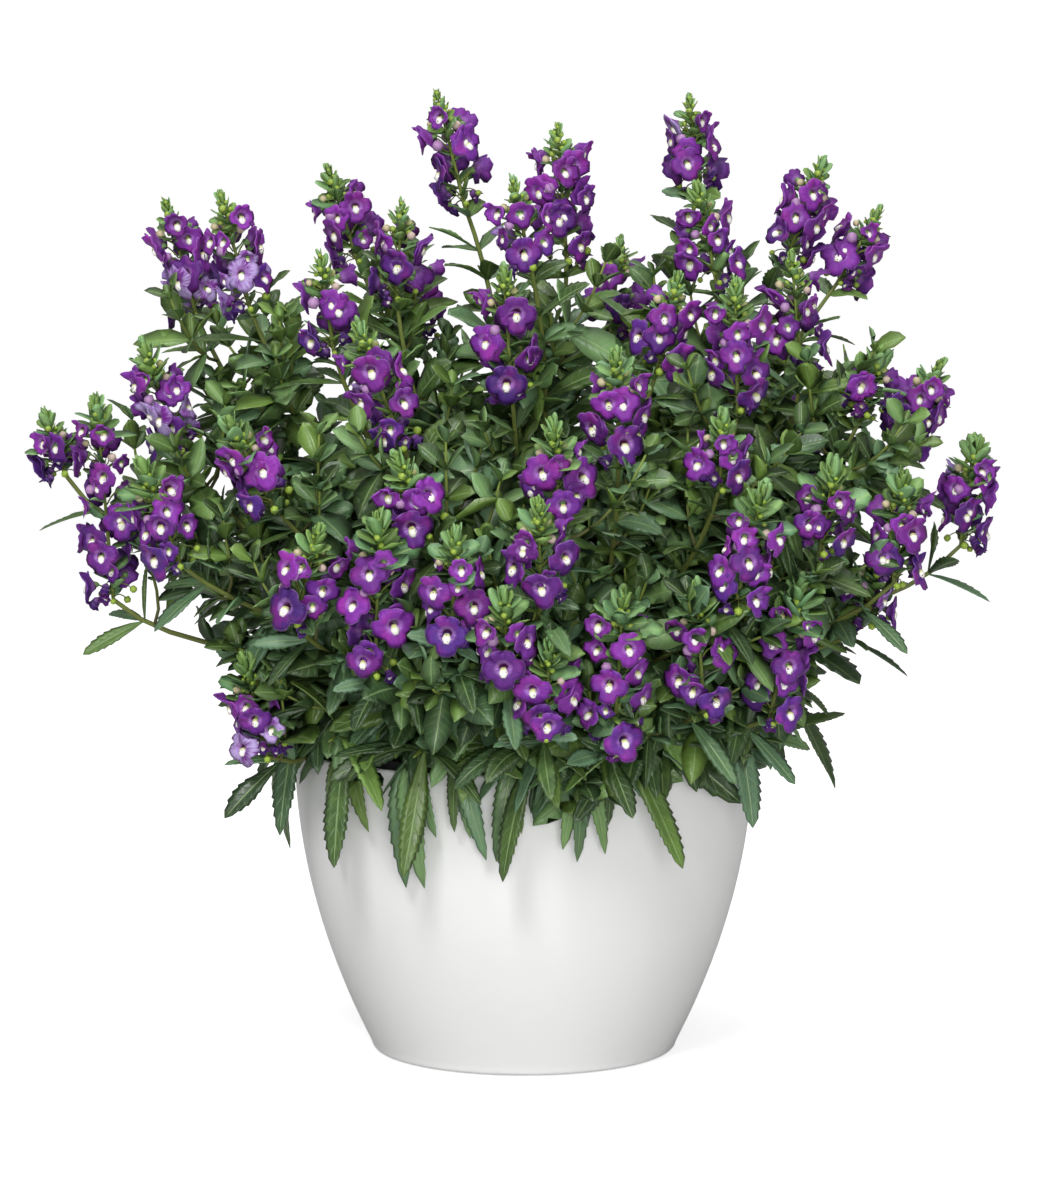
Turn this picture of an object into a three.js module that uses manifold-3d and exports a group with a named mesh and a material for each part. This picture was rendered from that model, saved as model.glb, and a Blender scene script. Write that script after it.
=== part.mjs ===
// Potted angelonia: a white cover pot, a black grow pot with soil, and six leafy plants in flower.
// Millimetres, +Z up, origin at the centre of the pot's base, -Y towards the viewer.
import * as THREE from "three";
import { mergeVertices } from "three/addons/utils/BufferGeometryUtils.js";
import Module from "manifold-3d";

const wasm = await Module();
wasm.setup();

// Driving dimensions
const potHeight = 152;
const potRimRadius = 114;
const potBaseRadius = 74.4;
const potWall = 3;
const potFloor = 4;
const seatGap = 0.3;
const growPotTop = 156;
const growPotWall = 1.6;
const growPotFloor = 3;
const growFootRadius = 67;
const growTopRadius = 106.4;
const growBandHeight = 14;
const growBandRadius = 109.2;
const soilLevel = 144;
const stubRadius = 4.5;
const stubDepth = 24;
const stubTop = 158;
const stubStart = 6;
const holeSlack = 0.5;
const stemFootRadius = 1.9;
const stemHeadRadius = 1.1;
const rachisRadius = 1.0;
const boreRadius = 1.8;
const coreRadius = 3.3;
const coreStart = 3;
const coreStep = 22;
const greenTip = 14;
const rachisStart = 1.5;
const shootTail = 4;
const shootTailRadius = 0.8;
const shootTip = 9;
const bloomSize = 19;
const bloomReach = 12.5;
const leafLowest = 58;
const leafHighest = 33;
const rimLeaf = 54;
const nodeHalf = 2.6;
const clearance = 0.35;
const rootChoices = 3;
const rootBelowBloom = 4;
const goldenRatio = 0.618034;

// Where each kind of piece starts in the row of repeatable numbers
const bloomSeed = 500;
const rimNodeSeed = 7000;
const rimLeafSeed = 9000;
const stemLeafSeed = 20000;

// Flower spikes: crown, tip x, y, z, length with the green tip, lean to the right in degrees, blooms
const spikes = [
  ["left", -179, 30, 422, 62, -15, 8],
  ["left", -148, -20, 426, 60, -14, 8],
  ["centre", -99, 45, 438, 52, -18, 7],
  ["centre", -44, 30, 476, 60, -14, 8],
  ["centre", -60, 0, 422, 50, 3, 7],
  ["centre", 16, -20, 459, 68, -4, 11],
  ["centre", -6, -70, 433, 44, -12, 4],
  ["centre", 83, 60, 474, 48, -4, 7],
  ["centre", 83, -30, 430, 50, -12, 7],
  ["right", 150, 40, 442, 56, 20, 8],
  ["right", 181, 60, 418, 46, 30, 6],
  ["right", 206, -5, 343, 50, 26, 7],
  ["right", 173, -40, 351, 34, 15, 3],
  ["right", 226, 25, 302, 54, 8, 7],
  ["right", 180, -80, 293, 54, 4, 6],
  ["left", -240, 28, 316, 34, -18, 3],
  ["left", -207, -40, 327, 100, -4, 11],
  ["front_left", -181, -90, 298, 52, -20, 5],
  ["front_left", -139, -100, 320, 48, -26, 5],
  ["centre", -98, -60, 398, 50, -8, 5],
  ["front_left", -78, -115, 365, 62, -20, 7],
  ["front_left", -59, -150, 306, 40, -22, 4],
  ["centre", -10, -90, 391, 62, -4, 7],
  ["front_right", 73, -80, 388, 48, 12, 5],
  ["front_right", 99, -90, 385, 62, -2, 7],
  ["right", 129, -30, 397, 56, -6, 6],
  ["front_right", 42, -140, 354, 50, -2, 6],
  ["front_left", 13, -165, 322, 44, -4, 5],
  ["front_right", 92, -130, 325, 36, 2, 4],
  ["front_right", 109, -160, 292, 58, 12, 7],
  ["front_right", 145, -110, 299, 42, 8, 4],
  ["front_left", -94, -150, 273, 46, 14, 5],
  ["front_left", -66, -165, 279, 74, 2, 7],
  ["front_left", -31, -185, 275, 54, 2, 6],
  ["front_left", 6, -190, 289, 46, -2, 5],
  ["front_left", -9, -190, 247, 40, -2, 4],
  ["front_right", 12, -184, 224, 44, 4, 5],
  ["front_right", 45, -172, 246, 76, 3, 7],
  ["front_right", 79, -152, 246, 60, -4, 5],
  ["front_right", 129, -125, 245, 68, 12, 7],
  ["right", 171, -60, 256, 38, 8, 3],
  ["left", -186, -25, 352, 56, -20, 7],
  ["left", -133, -90, 206, 50, -12, 5],
  ["back", -150, 105, 325, 56, -14, 7],
  ["back", -85, 160, 285, 54, -8, 7],
  ["back", 0, 170, 335, 58, 2, 7],
  ["back", 85, 160, 275, 56, 8, 7],
  ["back", 155, 105, 330, 56, 16, 7],
  ["back", -60, 100, 398, 54, -8, 7],
  ["back", 50, 95, 402, 54, 6, 7],
  ["back", 0, 180, 235, 50, 0, 6],
];

// Leafy side shoots over the rim: crown, azimuth in degrees, reach from the axis, end height
const rimShoots = [
  ["left", 205, 126, 178],
  ["front_left", 226, 126, 168],
  ["front_left", 248, 130, 165],
  ["front_right", 272, 128, 165],
  ["front_right", 293, 128, 167],
  ["front_right", 322, 130, 181],
  ["right", 5, 130, 186],
  ["back", 55, 128, 174],
  ["back", 105, 128, 170],
  ["left", 155, 130, 178],
];

// Where each plant stands in the soil
const crowns = {
  centre: [0, 0],
  left: [-52, -6],
  front_left: [-30, -46],
  front_right: [32, -46],
  right: [54, -4],
  back: [0, 52],
};

const white = new THREE.MeshStandardMaterial({ color: 0xf1f1ef, roughness: 0.42, metalness: 0 });
const black = new THREE.MeshStandardMaterial({ color: 0x1c1d1d, roughness: 0.6, metalness: 0 });
const soilBrown = new THREE.MeshStandardMaterial({ color: 0x2d231b, roughness: 0.95, metalness: 0 });
const leafGreen = new THREE.MeshStandardMaterial({ color: 0x3f6b33, roughness: 0.55, metalness: 0 });
const petalPurple = new THREE.MeshStandardMaterial({ color: 0x76308e, roughness: 0.5, metalness: 0 });

const up = new THREE.Vector3(0, 0, 1);
const vec = (x, y, z) => new THREE.Vector3(x, y, z);
const radians = THREE.MathUtils.degToRad;
const mix = THREE.MathUtils.lerp;
const clamp = THREE.MathUtils.clamp;

// Moves a point by any number of direction and distance pairs
function shifted(point, ...moves) {
  const result = point.clone();
  for (let i = 0; i < moves.length; i += 2) {
    result.addScaledVector(moves[i], moves[i + 1]);
  }
  return result;
}

// The part of a direction that stands square to an axis, as a unit vector
function squareTo(direction, axis) {
  return direction.clone().addScaledVector(axis, -direction.dot(axis)).normalize();
}

// The level direction across an outward one
function sidewaysOf(outward) {
  return vec(-outward.y, outward.x, 0);
}

// A repeatable number from 0 to 1 for each seed
function chance(seed) {
  const value = Math.sin(seed * 12.9898) * 43758.5453;
  return value - Math.floor(value);
}

// The cheapest way from corner 0, 0 to corner rows, columns in single steps, as a list of choices;
// it strays along no side for more than half of it, so no edge of the closed loops comes twice
function shortestWay(rows, columns, price) {
  const totals = [];
  for (let i = 0; i <= rows; i += 1) {
    totals.push([]);
    for (let j = 0; j <= columns; j += 1) {
      const fromRow = i > 0 ? totals[i - 1][j] : Infinity;
      const fromColumn = j > 0 ? totals[i][j - 1] : Infinity;
      const strays = (i === 0 && j > columns / 2) || (i === rows && j <= columns / 2)
        || (j === 0 && i > rows / 2) || (j === columns && i <= rows / 2);
      const cost = strays ? Infinity : price(i, j);
      totals[i].push(i + j === 0 ? 0 : Math.min(fromRow, fromColumn) + cost);
    }
  }
  const steps = [];
  let i = rows;
  let j = columns;
  while (i + j > 0) {
    const row = i > 0 && (j === 0 || totals[i - 1][j] <= totals[i][j - 1]);
    steps.unshift(row);
    i -= row ? 1 : 0;
    j -= row ? 0 : 1;
  }
  return { total: totals[rows][columns], steps };
}

// A growing closed skin: points, and triangles seen counter-clockwise from outside
class Skin {
  constructor() {
    this.points = [];
    this.faces = [];
  }

  loop(points) {
    const first = this.points.length;
    this.points.push(...points);
    return points.map((point, i) => first + i);
  }

  centre(loop) {
    const sum = vec(0, 0, 0);
    for (const i of loop) {
      sum.add(this.points[i]);
    }
    return sum.divideScalar(loop.length);
  }

  // Joins two loops with triangles, choosing the way whose crossing edges are shortest in all
  zip(lower, upper) {
    const span = (i, j) => {
      const from = this.points[lower[i % lower.length]];
      return from.distanceTo(this.points[upper[j % upper.length]]);
    };
    let best = { total: Infinity };
    for (let start = 0; start < upper.length; start += 1) {
      const way = shortestWay(lower.length, upper.length, (i, j) => span(i, start + j));
      if (way.total < best.total) {
        best = { ...way, start };
      }
    }
    let i = 0;
    let j = 0;
    const low = (k) => lower[k % lower.length];
    const high = (k) => upper[(best.start + k) % upper.length];
    for (const lowerNext of best.steps) {
      if (lowerNext) {
        this.faces.push([low(i), low(i + 1), high(j)]);
        i += 1;
      } else {
        this.faces.push([low(i), high(j + 1), high(j)]);
        j += 1;
      }
    }
  }

  // Closes a loop with a fan of triangles to one point
  point(loop, apex) {
    const [tip] = this.loop([apex]);
    loop.forEach((i, k) => this.faces.push([i, loop[(k + 1) % loop.length], tip]));
  }

  solid() {
    const kept = this.faces.filter((face) => face !== null);
    const used = [...new Set(kept.flat())];
    const place = new Map(used.map((old, i) => [old, i]));
    const positions = new Float32Array(used.flatMap((i) => this.points[i].toArray()));
    const triangles = new Uint32Array(kept.flat().map((i) => place.get(i)));
    return new wasm.Manifold(new wasm.Mesh({
      numProp: 3,
      vertProperties: positions,
      triVerts: triangles,
    }));
  }
}

// A tube of rings; each ring has a centre, a radius and a direction, and the frame's side is fixed
function tubeSkin(rings, sides, side, turn) {
  const skin = new Skin();
  const loops = rings.map((ring) => {
    const east = squareTo(side, ring.along);
    const north = ring.along.clone().cross(east);
    const points = [];
    for (let k = 0; k < sides; k += 1) {
      const angle = turn + (2 * Math.PI * k) / sides;
      const reach = ring.radius;
      points.push(shifted(ring.at, east, reach * Math.cos(angle), north, reach * Math.sin(angle)));
    }
    return skin.loop(points);
  });
  const sideFaces = [];
  for (let i = 0; i + 1 < loops.length; i += 1) {
    const lower = loops[i];
    const upper = loops[i + 1];
    for (let k = 0; k < sides; k += 1) {
      const next = (k + 1) % sides;
      sideFaces.push({ gap: i, face: skin.faces.length });
      skin.faces.push([lower[k], lower[next], upper[next]]);
      sideFaces.push({ gap: i, face: skin.faces.length });
      skin.faces.push([lower[k], upper[next], upper[k]]);
    }
  }
  return { skin, loops, sideFaces };
}

// What is already placed, with its box, for testing what comes next
const placed = [];

function boxOf(solid) {
  const box = solid.boundingBox();
  return new THREE.Box3(vec(...box.min), vec(...box.max));
}

function remember(solid, family, plant) {
  placed.push({ solid, box: boxOf(solid), family, plant });
}

// True where a solid keeps its clearance to all others, apart from its own family
function isClear(solid, family, freeWith = () => false) {
  const box = boxOf(solid).expandByScalar(clearance);
  return !placed.some((other) => (
    other.family !== family
    && box.intersectsBox(other.box)
    && !freeWith(other)
    && solid.minGap(other.solid, 1) < clearance
  ));
}

// True where an edge from p to q runs through the triangle a, b, c
function pierces(p, q, a, b, c) {
  const side = (u, v, w, x) => (
    v.clone().sub(u).cross(w.clone().sub(u)).dot(x.clone().sub(u))
  );
  if (side(a, b, c, p) * side(a, b, c, q) >= 0) {
    return false;
  }
  const first = side(p, q, a, b);
  const second = side(p, q, b, c);
  const third = side(p, q, c, a);
  return (first > 0) === (second > 0) && (second > 0) === (third > 0);
}

// True where any face from a given one on runs through another face of the same skin
function crossesItself(skin, firstNew) {
  const boxes = skin.faces.map((face) => (
    face ? new THREE.Box3().setFromPoints(face.map((i) => skin.points[i])) : null
  ));
  for (let m = firstNew; m < skin.faces.length; m += 1) {
    for (let n = 0; n < skin.faces.length; n += 1) {
      const one = skin.faces[m];
      const two = skin.faces[n];
      if (!two || m === n || !boxes[m].intersectsBox(boxes[n])) {
        continue;
      }
      if (one.some((i) => two.includes(i))) {
        continue;
      }
      const [a, b, c] = one.map((i) => skin.points[i]);
      const [d, e, f] = two.map((i) => skin.points[i]);
      if ([[a, b], [b, c], [c, a]].some(([p, q]) => pierces(p, q, d, e, f))) {
        return true;
      }
      if ([[d, e], [e, f], [f, d]].some(([p, q]) => pierces(p, q, a, b, c))) {
        return true;
      }
    }
  }
  return false;
}

// Replaces one triangle of a skin by a limb, if the limb is clear in one of its variants
function growLimb(host, slots, root, variants, build, family, plant) {
  const { skin } = host;
  for (const variant of variants) {
    const limb = build(variant);
    const target = shifted(root, limb.aim, limb.aimReach);
    const score = (slot) => skin.centre(skin.faces[slot.face]).distanceTo(target);
    const free = slots.filter((slot) => skin.faces[slot.face] !== null);
    free.sort((a, b) => score(a) - score(b));
    for (const slot of free.slice(0, rootChoices)) {
      const face = skin.faces[slot.face];
      const trial = new Skin();
      trial.faces.push([2, 1, 0]);
      limb.draw(trial, trial.loop(face.map((i) => skin.points[i])));
      const solid = trial.solid();
      if (!isClear(solid, family)) {
        continue;
      }
      const pointCount = skin.points.length;
      const faceCount = skin.faces.length;
      skin.faces[slot.face] = null;
      limb.draw(skin, face);
      if (!crossesItself(skin, faceCount)) {
        remember(solid, family, plant);
        return;
      }
      skin.points.length = pointCount;
      skin.faces.length = faceCount;
      skin.faces[slot.face] = face;
    }
  }
}

// One leaf: its rib bends down by its droop, its edges rise in a shallow V, and teeth cut its edge
function leafLimb(leaf) {
  const { at, along, upper, length, width, droop, stations, toothed } = leaf;
  const side = along.clone().cross(upper).normalize();
  const place = (s) => shifted(at, along, length * s, up, -droop * length * s * s);
  const faceUp = (s) => {
    const tangent = shifted(along, up, -2 * droop * s).normalize();
    return side.clone().cross(tangent).normalize();
  };
  const edge = (s, half, sign) => shifted(place(s), side, sign * half, faceUp(s), 0.25 * half);
  const draw = (skin, root) => {
    let last = root;
    stations.forEach(([s, share], k) => {
      const half = share * width;
      const above = shifted(place(s), faceUp(s), 0.35);
      const below = shifted(place(s), faceUp(s), -0.45);
      const ring = skin.loop([edge(s, half, -1), above, edge(s, half, 1), below]);
      if (k === 0) {
        skin.zip(last, ring);
      } else {
        joinStations(skin, last, ring, toothed ? notches(k, half) : null);
      }
      last = ring;
    });
    const tip = skin.loop([place(1)]);
    const end = new Array(4).fill(tip[0]);
    joinStations(skin, last, end, toothed ? notches(stations.length, 0) : null);
  };
  const notches = (k, half) => {
    const s0 = stations[k - 1][0];
    const s1 = k < stations.length ? stations[k][0] : 1;
    const s = mix(s0, s1, 0.3);
    const inset = 0.78 * mix(stations[k - 1][1] * width, half, 0.3);
    return [edge(s, inset, -1), edge(s, inset, 1)];
  };
  return { draw, aim: along, aimReach: 3 };
}

// Joins two leaf sections, with one notch cut into each edge between them where asked
function joinStations(skin, lower, upper, cuts) {
  const cutLoop = cuts ? skin.loop(cuts) : null;
  const push = (a, b, c) => {
    if (a !== b && b !== c && c !== a) {
      skin.faces.push([a, b, c]);
    }
  };
  for (let k = 0; k < 4; k += 1) {
    const next = (k + 1) % 4;
    const onEdge = k % 2 === 0 ? k : next;
    const rib = k % 2 === 0 ? next : k;
    if (!cutLoop) {
      if (k % 2 === 0) {
        push(lower[k], lower[next], upper[next]);
        push(lower[k], upper[next], upper[k]);
      } else {
        push(lower[k], lower[next], upper[k]);
        push(lower[next], upper[next], upper[k]);
      }
    } else {
      const cut = cutLoop[onEdge === 0 ? 0 : 1];
      const fan = [lower[onEdge], lower[rib], upper[rib], upper[onEdge]];
      if (k % 2 === 1) {
        fan.reverse();
      }
      for (let m = 0; m < 3; m += 1) {
        push(fan[m], fan[m + 1], cut);
      }
    }
  }
}

// One flower: a funnel that opens into two upper and three lower lobes round a sunken throat
function bloomLimb(bloom) {
  const { centre, facing, upward, size } = bloom;
  const across = upward.clone().cross(facing).normalize();
  const lobes = [
    [0.27, 0.45, 0], [0, 0.3, 0.02], [-0.27, 0.45, 0], [-0.29, 0.08, 0.03],
    [-0.5, -0.16, -0.03], [0, -0.55, -0.06], [0.5, -0.16, -0.03], [0.29, 0.08, 0.03],
  ];
  const throatDepth = 0.16;
  const draw = (skin, root) => {
    const outline = skin.loop(lobes.map(([x, y, out]) => (
      shifted(centre, across, x * size, upward, y * size, facing, out * size)
    )));
    skin.zip(root, outline);
    skin.point(outline, shifted(centre, facing, -throatDepth * size));
  };
  return { draw, aim: facing, aimReach: 2 };
}

// A cubic curve through four points, with its direction
function curveOf(points) {
  const curve = new THREE.CubicBezierCurve3(...points);
  return {
    at: (u) => curve.getPoint(u),
    along: (u) => curve.getTangent(u),
  };
}

// Everything about one spike's axis
function spikeFrame(row) {
  const [crown, x, y, z, length, lean, blooms] = row;
  const tip = vec(x, y, z);
  const axis = vec(Math.tan(radians(lean)), 0.0012 * y, 1).normalize();
  const foot = shifted(tip, axis, -length);
  const outward = vec(x, y, 0).normalize();
  return { crown, tip, foot, axis, length, blooms, outward };
}

// The stem from the plant's stub to a spike's foot: up from the soil, then out, then up again;
// stems of low spikes arrive flatter
const firstHandle = 0.36;
const lastHandle = 0.34;
const handleSpread = 0.06;
const allUprightFrom = 300;
const lowStemTurn = 1.1;
const highStemTurn = 0.15;
const nodeJitter = 0.16;

function stemPoints(crown, foot, axis, outward, bow) {
  const [crownX, crownY] = crowns[crown];
  const start = vec(crownX, crownY, soilLevel + stubStart);
  const reach = start.distanceTo(foot);
  const flat = clamp((allUprightFrom - foot.z) / 100, 0, 1) * lowStemTurn + highStemTurn;
  const arrival = shifted(axis, outward, flat).normalize();
  const sideways = sidewaysOf(outward);
  const aside = 0.5 * bow.aside;
  return [
    start,
    shifted(start, up, firstHandle * reach + bow.raise, outward, handleSpread * reach, sideways, aside),
    shifted(foot, arrival, -lastHandle * reach, sideways, bow.aside, up, bow.raise),
    foot,
  ];
}

const bows = [];
for (const raise of [0, 14, 28]) {
  for (const aside of [0, 10, -10, 20, -20, 32, -32]) {
    bows.push({ aside, raise });
  }
}

// Rings along a stem: a close pair of rings at every leaf node
function stemRings(curve, reach, nodes, firstRadius, lastRadius) {
  const half = nodeHalf / reach;
  const stops = [0];
  for (const node of nodes) {
    stops.push(node - half, node + half);
  }
  stops.push(1);
  return stops.map((u) => ({
    at: curve.at(u),
    along: curve.along(u),
    radius: mix(firstRadius, lastRadius, u),
  }));
}

// Leaf nodes spread evenly along a part of a stem, each a little out of step
function nodePlaces(count, first, last, seed) {
  const places = [];
  for (let k = 0; k < count; k += 1) {
    const spread = count > 1 ? (last - first) / (count - 1) : 0;
    const jitter = nodeJitter * spread * (chance(seed + k) - 0.5);
    places.push(count > 1 ? first + k * spread + jitter : 0.5 * (first + last));
  }
  return places;
}

const leafVariants = [
  { turn: 0, tilt: 0, scale: 1 },
  { turn: 18, tilt: 0, scale: 1 },
  { turn: -18, tilt: 0, scale: 1 },
  { turn: 0, tilt: -16, scale: 1 },
  { turn: 0, tilt: 16, scale: 1 },
  { turn: 34, tilt: -8, scale: 0.9 },
  { turn: -34, tilt: -8, scale: 0.9 },
  { turn: 0, tilt: -24, scale: 0.8 },
  { turn: 20, tilt: 20, scale: 0.75 },
  { turn: -20, tilt: 20, scale: 0.75 },
];

// Grows the leaves of one node of a stem, an opposite pair and one from the bud beside it
function growNode(host, curve, node, gap, side, options) {
  const { seed, index, length, open, droop, family, plant, stations, toothed } = options;
  const along = curve.along(node);
  const at = curve.at(node);
  const east = squareTo(side, along);
  const north = along.clone().cross(east);
  const slots = host.sideFaces.filter((slot) => slot.gap === gap);
  const offsets = options.bud ? [0, 180, 90] : [0, 180];
  offsets.forEach((offset, k) => {
    const spin = 90 * index + offset + 50 * (chance(seed + 3 * k) - 0.5);
    const share = k === 2 ? 0.8 : 1;
    const ownLength = length * share * (0.92 + 0.16 * chance(seed + 3 * k + 1));
    const build = (variant) => {
      const turn = radians(spin + variant.turn);
      const away = shifted(vec(0, 0, 0), east, Math.cos(turn), north, Math.sin(turn));
      const tilt = radians(open + variant.tilt + 14 * (chance(seed + 3 * k + 2) - 0.5));
      const aim = shifted(vec(0, 0, 0), along, Math.cos(tilt), away, Math.sin(tilt));
      const back = shifted(vec(0, 0, 0), along, 0.5 * Math.sin(tilt), away, -0.5 * Math.cos(tilt));
      return leafLimb({
        at,
        along: aim,
        upper: squareTo(shifted(back, up, 0.8), aim),
        length: ownLength * variant.scale,
        width: 0.125 * ownLength * variant.scale,
        droop,
        stations,
        toothed: toothed && k < 2,
      });
    };
    growLimb(host, slots, at, leafVariants, build, family, plant);
  });
}

// The white cover pot, a bowl-sided pot with a small foot bevel
function potRadius(z) {
  const fall = 1 - z / potHeight;
  return potRimRadius - (potRimRadius - potBaseRadius) * fall * fall;
}

function latheSolid(profile, segments) {
  const points = profile.map(([r, z]) => new THREE.Vector2(r, z));
  const geometry = new THREE.LatheGeometry(points, segments);
  geometry.rotateX(Math.PI / 2);
  return solidOf(geometry);
}

// A closed geometry as a solid
function solidOf(geometry) {
  geometry.deleteAttribute("normal");
  geometry.deleteAttribute("uv");
  const merged = mergeVertices(geometry, 1e-4);
  const index = merged.index.array;
  const triangles = [];
  for (let i = 0; i < index.length; i += 3) {
    const [a, b, c] = [index[i], index[i + 1], index[i + 2]];
    if (a !== b && b !== c && c !== a) {
      triangles.push(a, b, c);
    }
  }
  return new wasm.Manifold(new wasm.Mesh({
    numProp: 3,
    vertProperties: Float32Array.from(merged.attributes.position.array),
    triVerts: Uint32Array.from(triangles),
  }));
}

const footBevel = 2;
const coverSegments = 30;

function coverPot() {
  const outer = [footBevel + 1, 28, 56, 88, 122, potHeight].map((z) => [potRadius(z), z]);
  const inner = [potHeight, 88, potFloor].map((z) => [potRadius(z) - potWall, z]);
  const profile = [[0, 0], [potBaseRadius - footBevel, 0], ...outer, ...inner, [0, potFloor]];
  return latheSolid(profile, coverSegments);
}

// The black grow pot: a straight tapered wall with a thicker rim band, resting in the cover pot
const growSegments = 24;
const growBase = potFloor + seatGap;
const growBand = growPotTop - growBandHeight;

function growPotRadius(z) {
  return mix(growFootRadius, growTopRadius, (z - growBase) / (growPotTop - growBase));
}

function growPot() {
  const floor = growBase + growPotFloor;
  return latheSolid([
    [0, growBase],
    [growFootRadius, growBase],
    [growPotRadius(growBand), growBand],
    [growBandRadius, growBand],
    [growBandRadius, growPotTop],
    [growBandRadius - 2, growPotTop],
    [growPotRadius(growBand) - growPotWall, growBand],
    [growPotRadius(floor) - growPotWall, floor],
    [0, floor],
  ], growSegments);
}

// The soil fills the grow pot up to its band, with a plain hole for each plant's stub
function pottingSoil() {
  const floor = growBase + growPotFloor + seatGap;
  const wallGap = growPotWall + seatGap + 0.1;
  const body = latheSolid([
    [0, floor],
    [growPotRadius(floor) - wallGap, floor],
    [growPotRadius(growBand) - wallGap, growBand],
    [84, soilLevel - 0.5],
    [46, soilLevel + 1],
    [0, soilLevel],
  ], growSegments);
  const holes = Object.values(crowns).map(([x, y]) => (
    prism(x, y, soilLevel - stubDepth - seatGap, soilLevel + stubDepth, stubRadius + holeSlack)
  ));
  return body.subtract(wasm.Manifold.union(holes));
}

// An upright six-sided prism
function prism(x, y, bottom, top, radius) {
  const geometry = new THREE.CylinderGeometry(radius, radius, top - bottom, 6);
  geometry.rotateX(Math.PI / 2);
  geometry.translate(x, y, 0.5 * (bottom + top));
  return solidOf(geometry);
}

// Pots and soil come first, because nothing of the plants may run through them
const cover = coverPot();
const grow = growPot();
const soil = pottingSoil();
remember(cover, "cover_pot", "pot");
remember(grow, "grow_pot", "pot");
remember(soil, "potting_soil", "pot");

// The core of each spike: a four-sided sleeve round the green axis
function spikeCore(frame) {
  const start = coreStart;
  const end = frame.length - greenTip;
  const count = Math.max(2, Math.round((end - start) / coreStep));
  const rings = [];
  for (let k = 0; k <= count; k += 1) {
    rings.push({
      at: shifted(frame.foot, frame.axis, mix(start, end, k / count)),
      along: frame.axis,
      radius: coreRadius,
    });
  }
  const host = tubeSkin(rings, 4, frame.outward, Math.PI / 4);
  const inner = [rings[0], rings[count]].map((ring) => ({ ...ring, radius: boreRadius }));
  const bore = tubeSkin(inner, 3, sidewaysOf(frame.outward), 0);
  const offset = host.skin.points.length;
  host.skin.points.push(...bore.skin.points);
  const moved = (loop) => loop.map((i) => i + offset);
  for (const [a, b, c] of bore.skin.faces) {
    host.skin.faces.push([a + offset, c + offset, b + offset]);
  }
  const boreLead = 1 / 8;
  sealRing(host.skin, host.loops[0], moved(bore.loops[0]), boreLead, true);
  sealRing(host.skin, host.loops[count], moved(bore.loops[1]), boreLead, false);
  return host;
}

// The flat ring between an outer and an inner loop, which starts a lead of one turn further round
function sealRing(skin, outer, inner, lead, below) {
  const steps = outer.length + inner.length;
  let i = 0;
  let j = 0;
  for (let k = 0; k < steps; k += 1) {
    const outerTurn = (i + 1) / outer.length;
    const innerTurn = (j + 1) / inner.length + lead;
    const a = outer[i % outer.length];
    const b = inner[j % inner.length];
    let face;
    if (j === inner.length || (i < outer.length && outerTurn <= innerTurn)) {
      face = [a, outer[(i + 1) % outer.length], b];
      i += 1;
    } else {
      face = [a, inner[(j + 1) % inner.length], b];
      j += 1;
    }
    skin.faces.push(below ? face.reverse() : face);
  }
}

const frames = spikes.map(spikeFrame);
frames.forEach((frame, n) => {
  frame.host = spikeCore(frame);
  remember(frame.host.skin.solid(), `spike_${n}`, frame.crown);
});

// The stub of each plant, standing in its hole in the soil
const stubs = {};
for (const [name, [x, y]] of Object.entries(crowns)) {
  stubs[name] = prism(x, y, soilLevel - stubDepth, stubTop, stubRadius);
  remember(stubs[name], `stub_${name}`, name);
}

// Stems: each takes the first bow that runs clear of other plants, spikes and pots
function layStem(crown, foot, axis, outward, nodes, family, end) {
  const [crownX, crownY] = crowns[crown];
  const reach = vec(crownX, crownY, soilLevel + stubStart).distanceTo(foot);
  for (const bow of bows) {
    const curve = curveOf(stemPoints(crown, foot, axis, outward, bow));
    const rings = stemRings(curve, reach, nodes, stemFootRadius, stemHeadRadius);
    const extended = rings.concat(end);
    const side = sidewaysOf(outward);
    const host = tubeSkin(extended, 3, side, 0);
    const sealed = tubeSkin(extended, 3, side, 0);
    sealEnds(sealed, shifted(extended.at(-1).at, extended.at(-1).along, 3));
    const solid = sealed.skin.solid();
    const own = (other) => other.family === `stub_${crown}` || other.plant === crown
      && other.family.startsWith("stem");
    if (isClear(solid, family, own)) {
      remember(solid, family, crown);
      return { host, curve, nodes, side };
    }
  }
  throw new Error(`no clear way for ${family}`);
}

function sealEnds(tube, apex) {
  const first = tube.loops[0];
  tube.skin.faces.push([first[2], first[1], first[0]]);
  tube.skin.point(tube.loops.at(-1), apex);
}

// Where the leaf pairs sit along a stem, as shares of its length
const flowerStemNodes = [0.5, 0.9];
const rimStemNodes = [0.78, 0.94];
const reachPerNode = 100;

// The green tip above the blooms: rings of height and radius, then four small bracts
const tipRings = [[0.5, rachisRadius], [4, 2.7], [9, 2.1]];
const bractPicks = [0, 3, 8, 10];
const bractOut = 5;
const bractUp = 3.5;

const smallLeaf = [[0.42, 1]];
const largeLeaf = [[0.25, 0.8], [0.55, 1]];
const flowerStemLeaf = { open: 58, droop: 0.14, stations: smallLeaf, toothed: false };
const rimStemLeaf = { open: 60, droop: 0.2, stations: largeLeaf, toothed: true };
const plantSolids = Object.fromEntries(Object.keys(crowns).map((name) => [name, []]));

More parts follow.
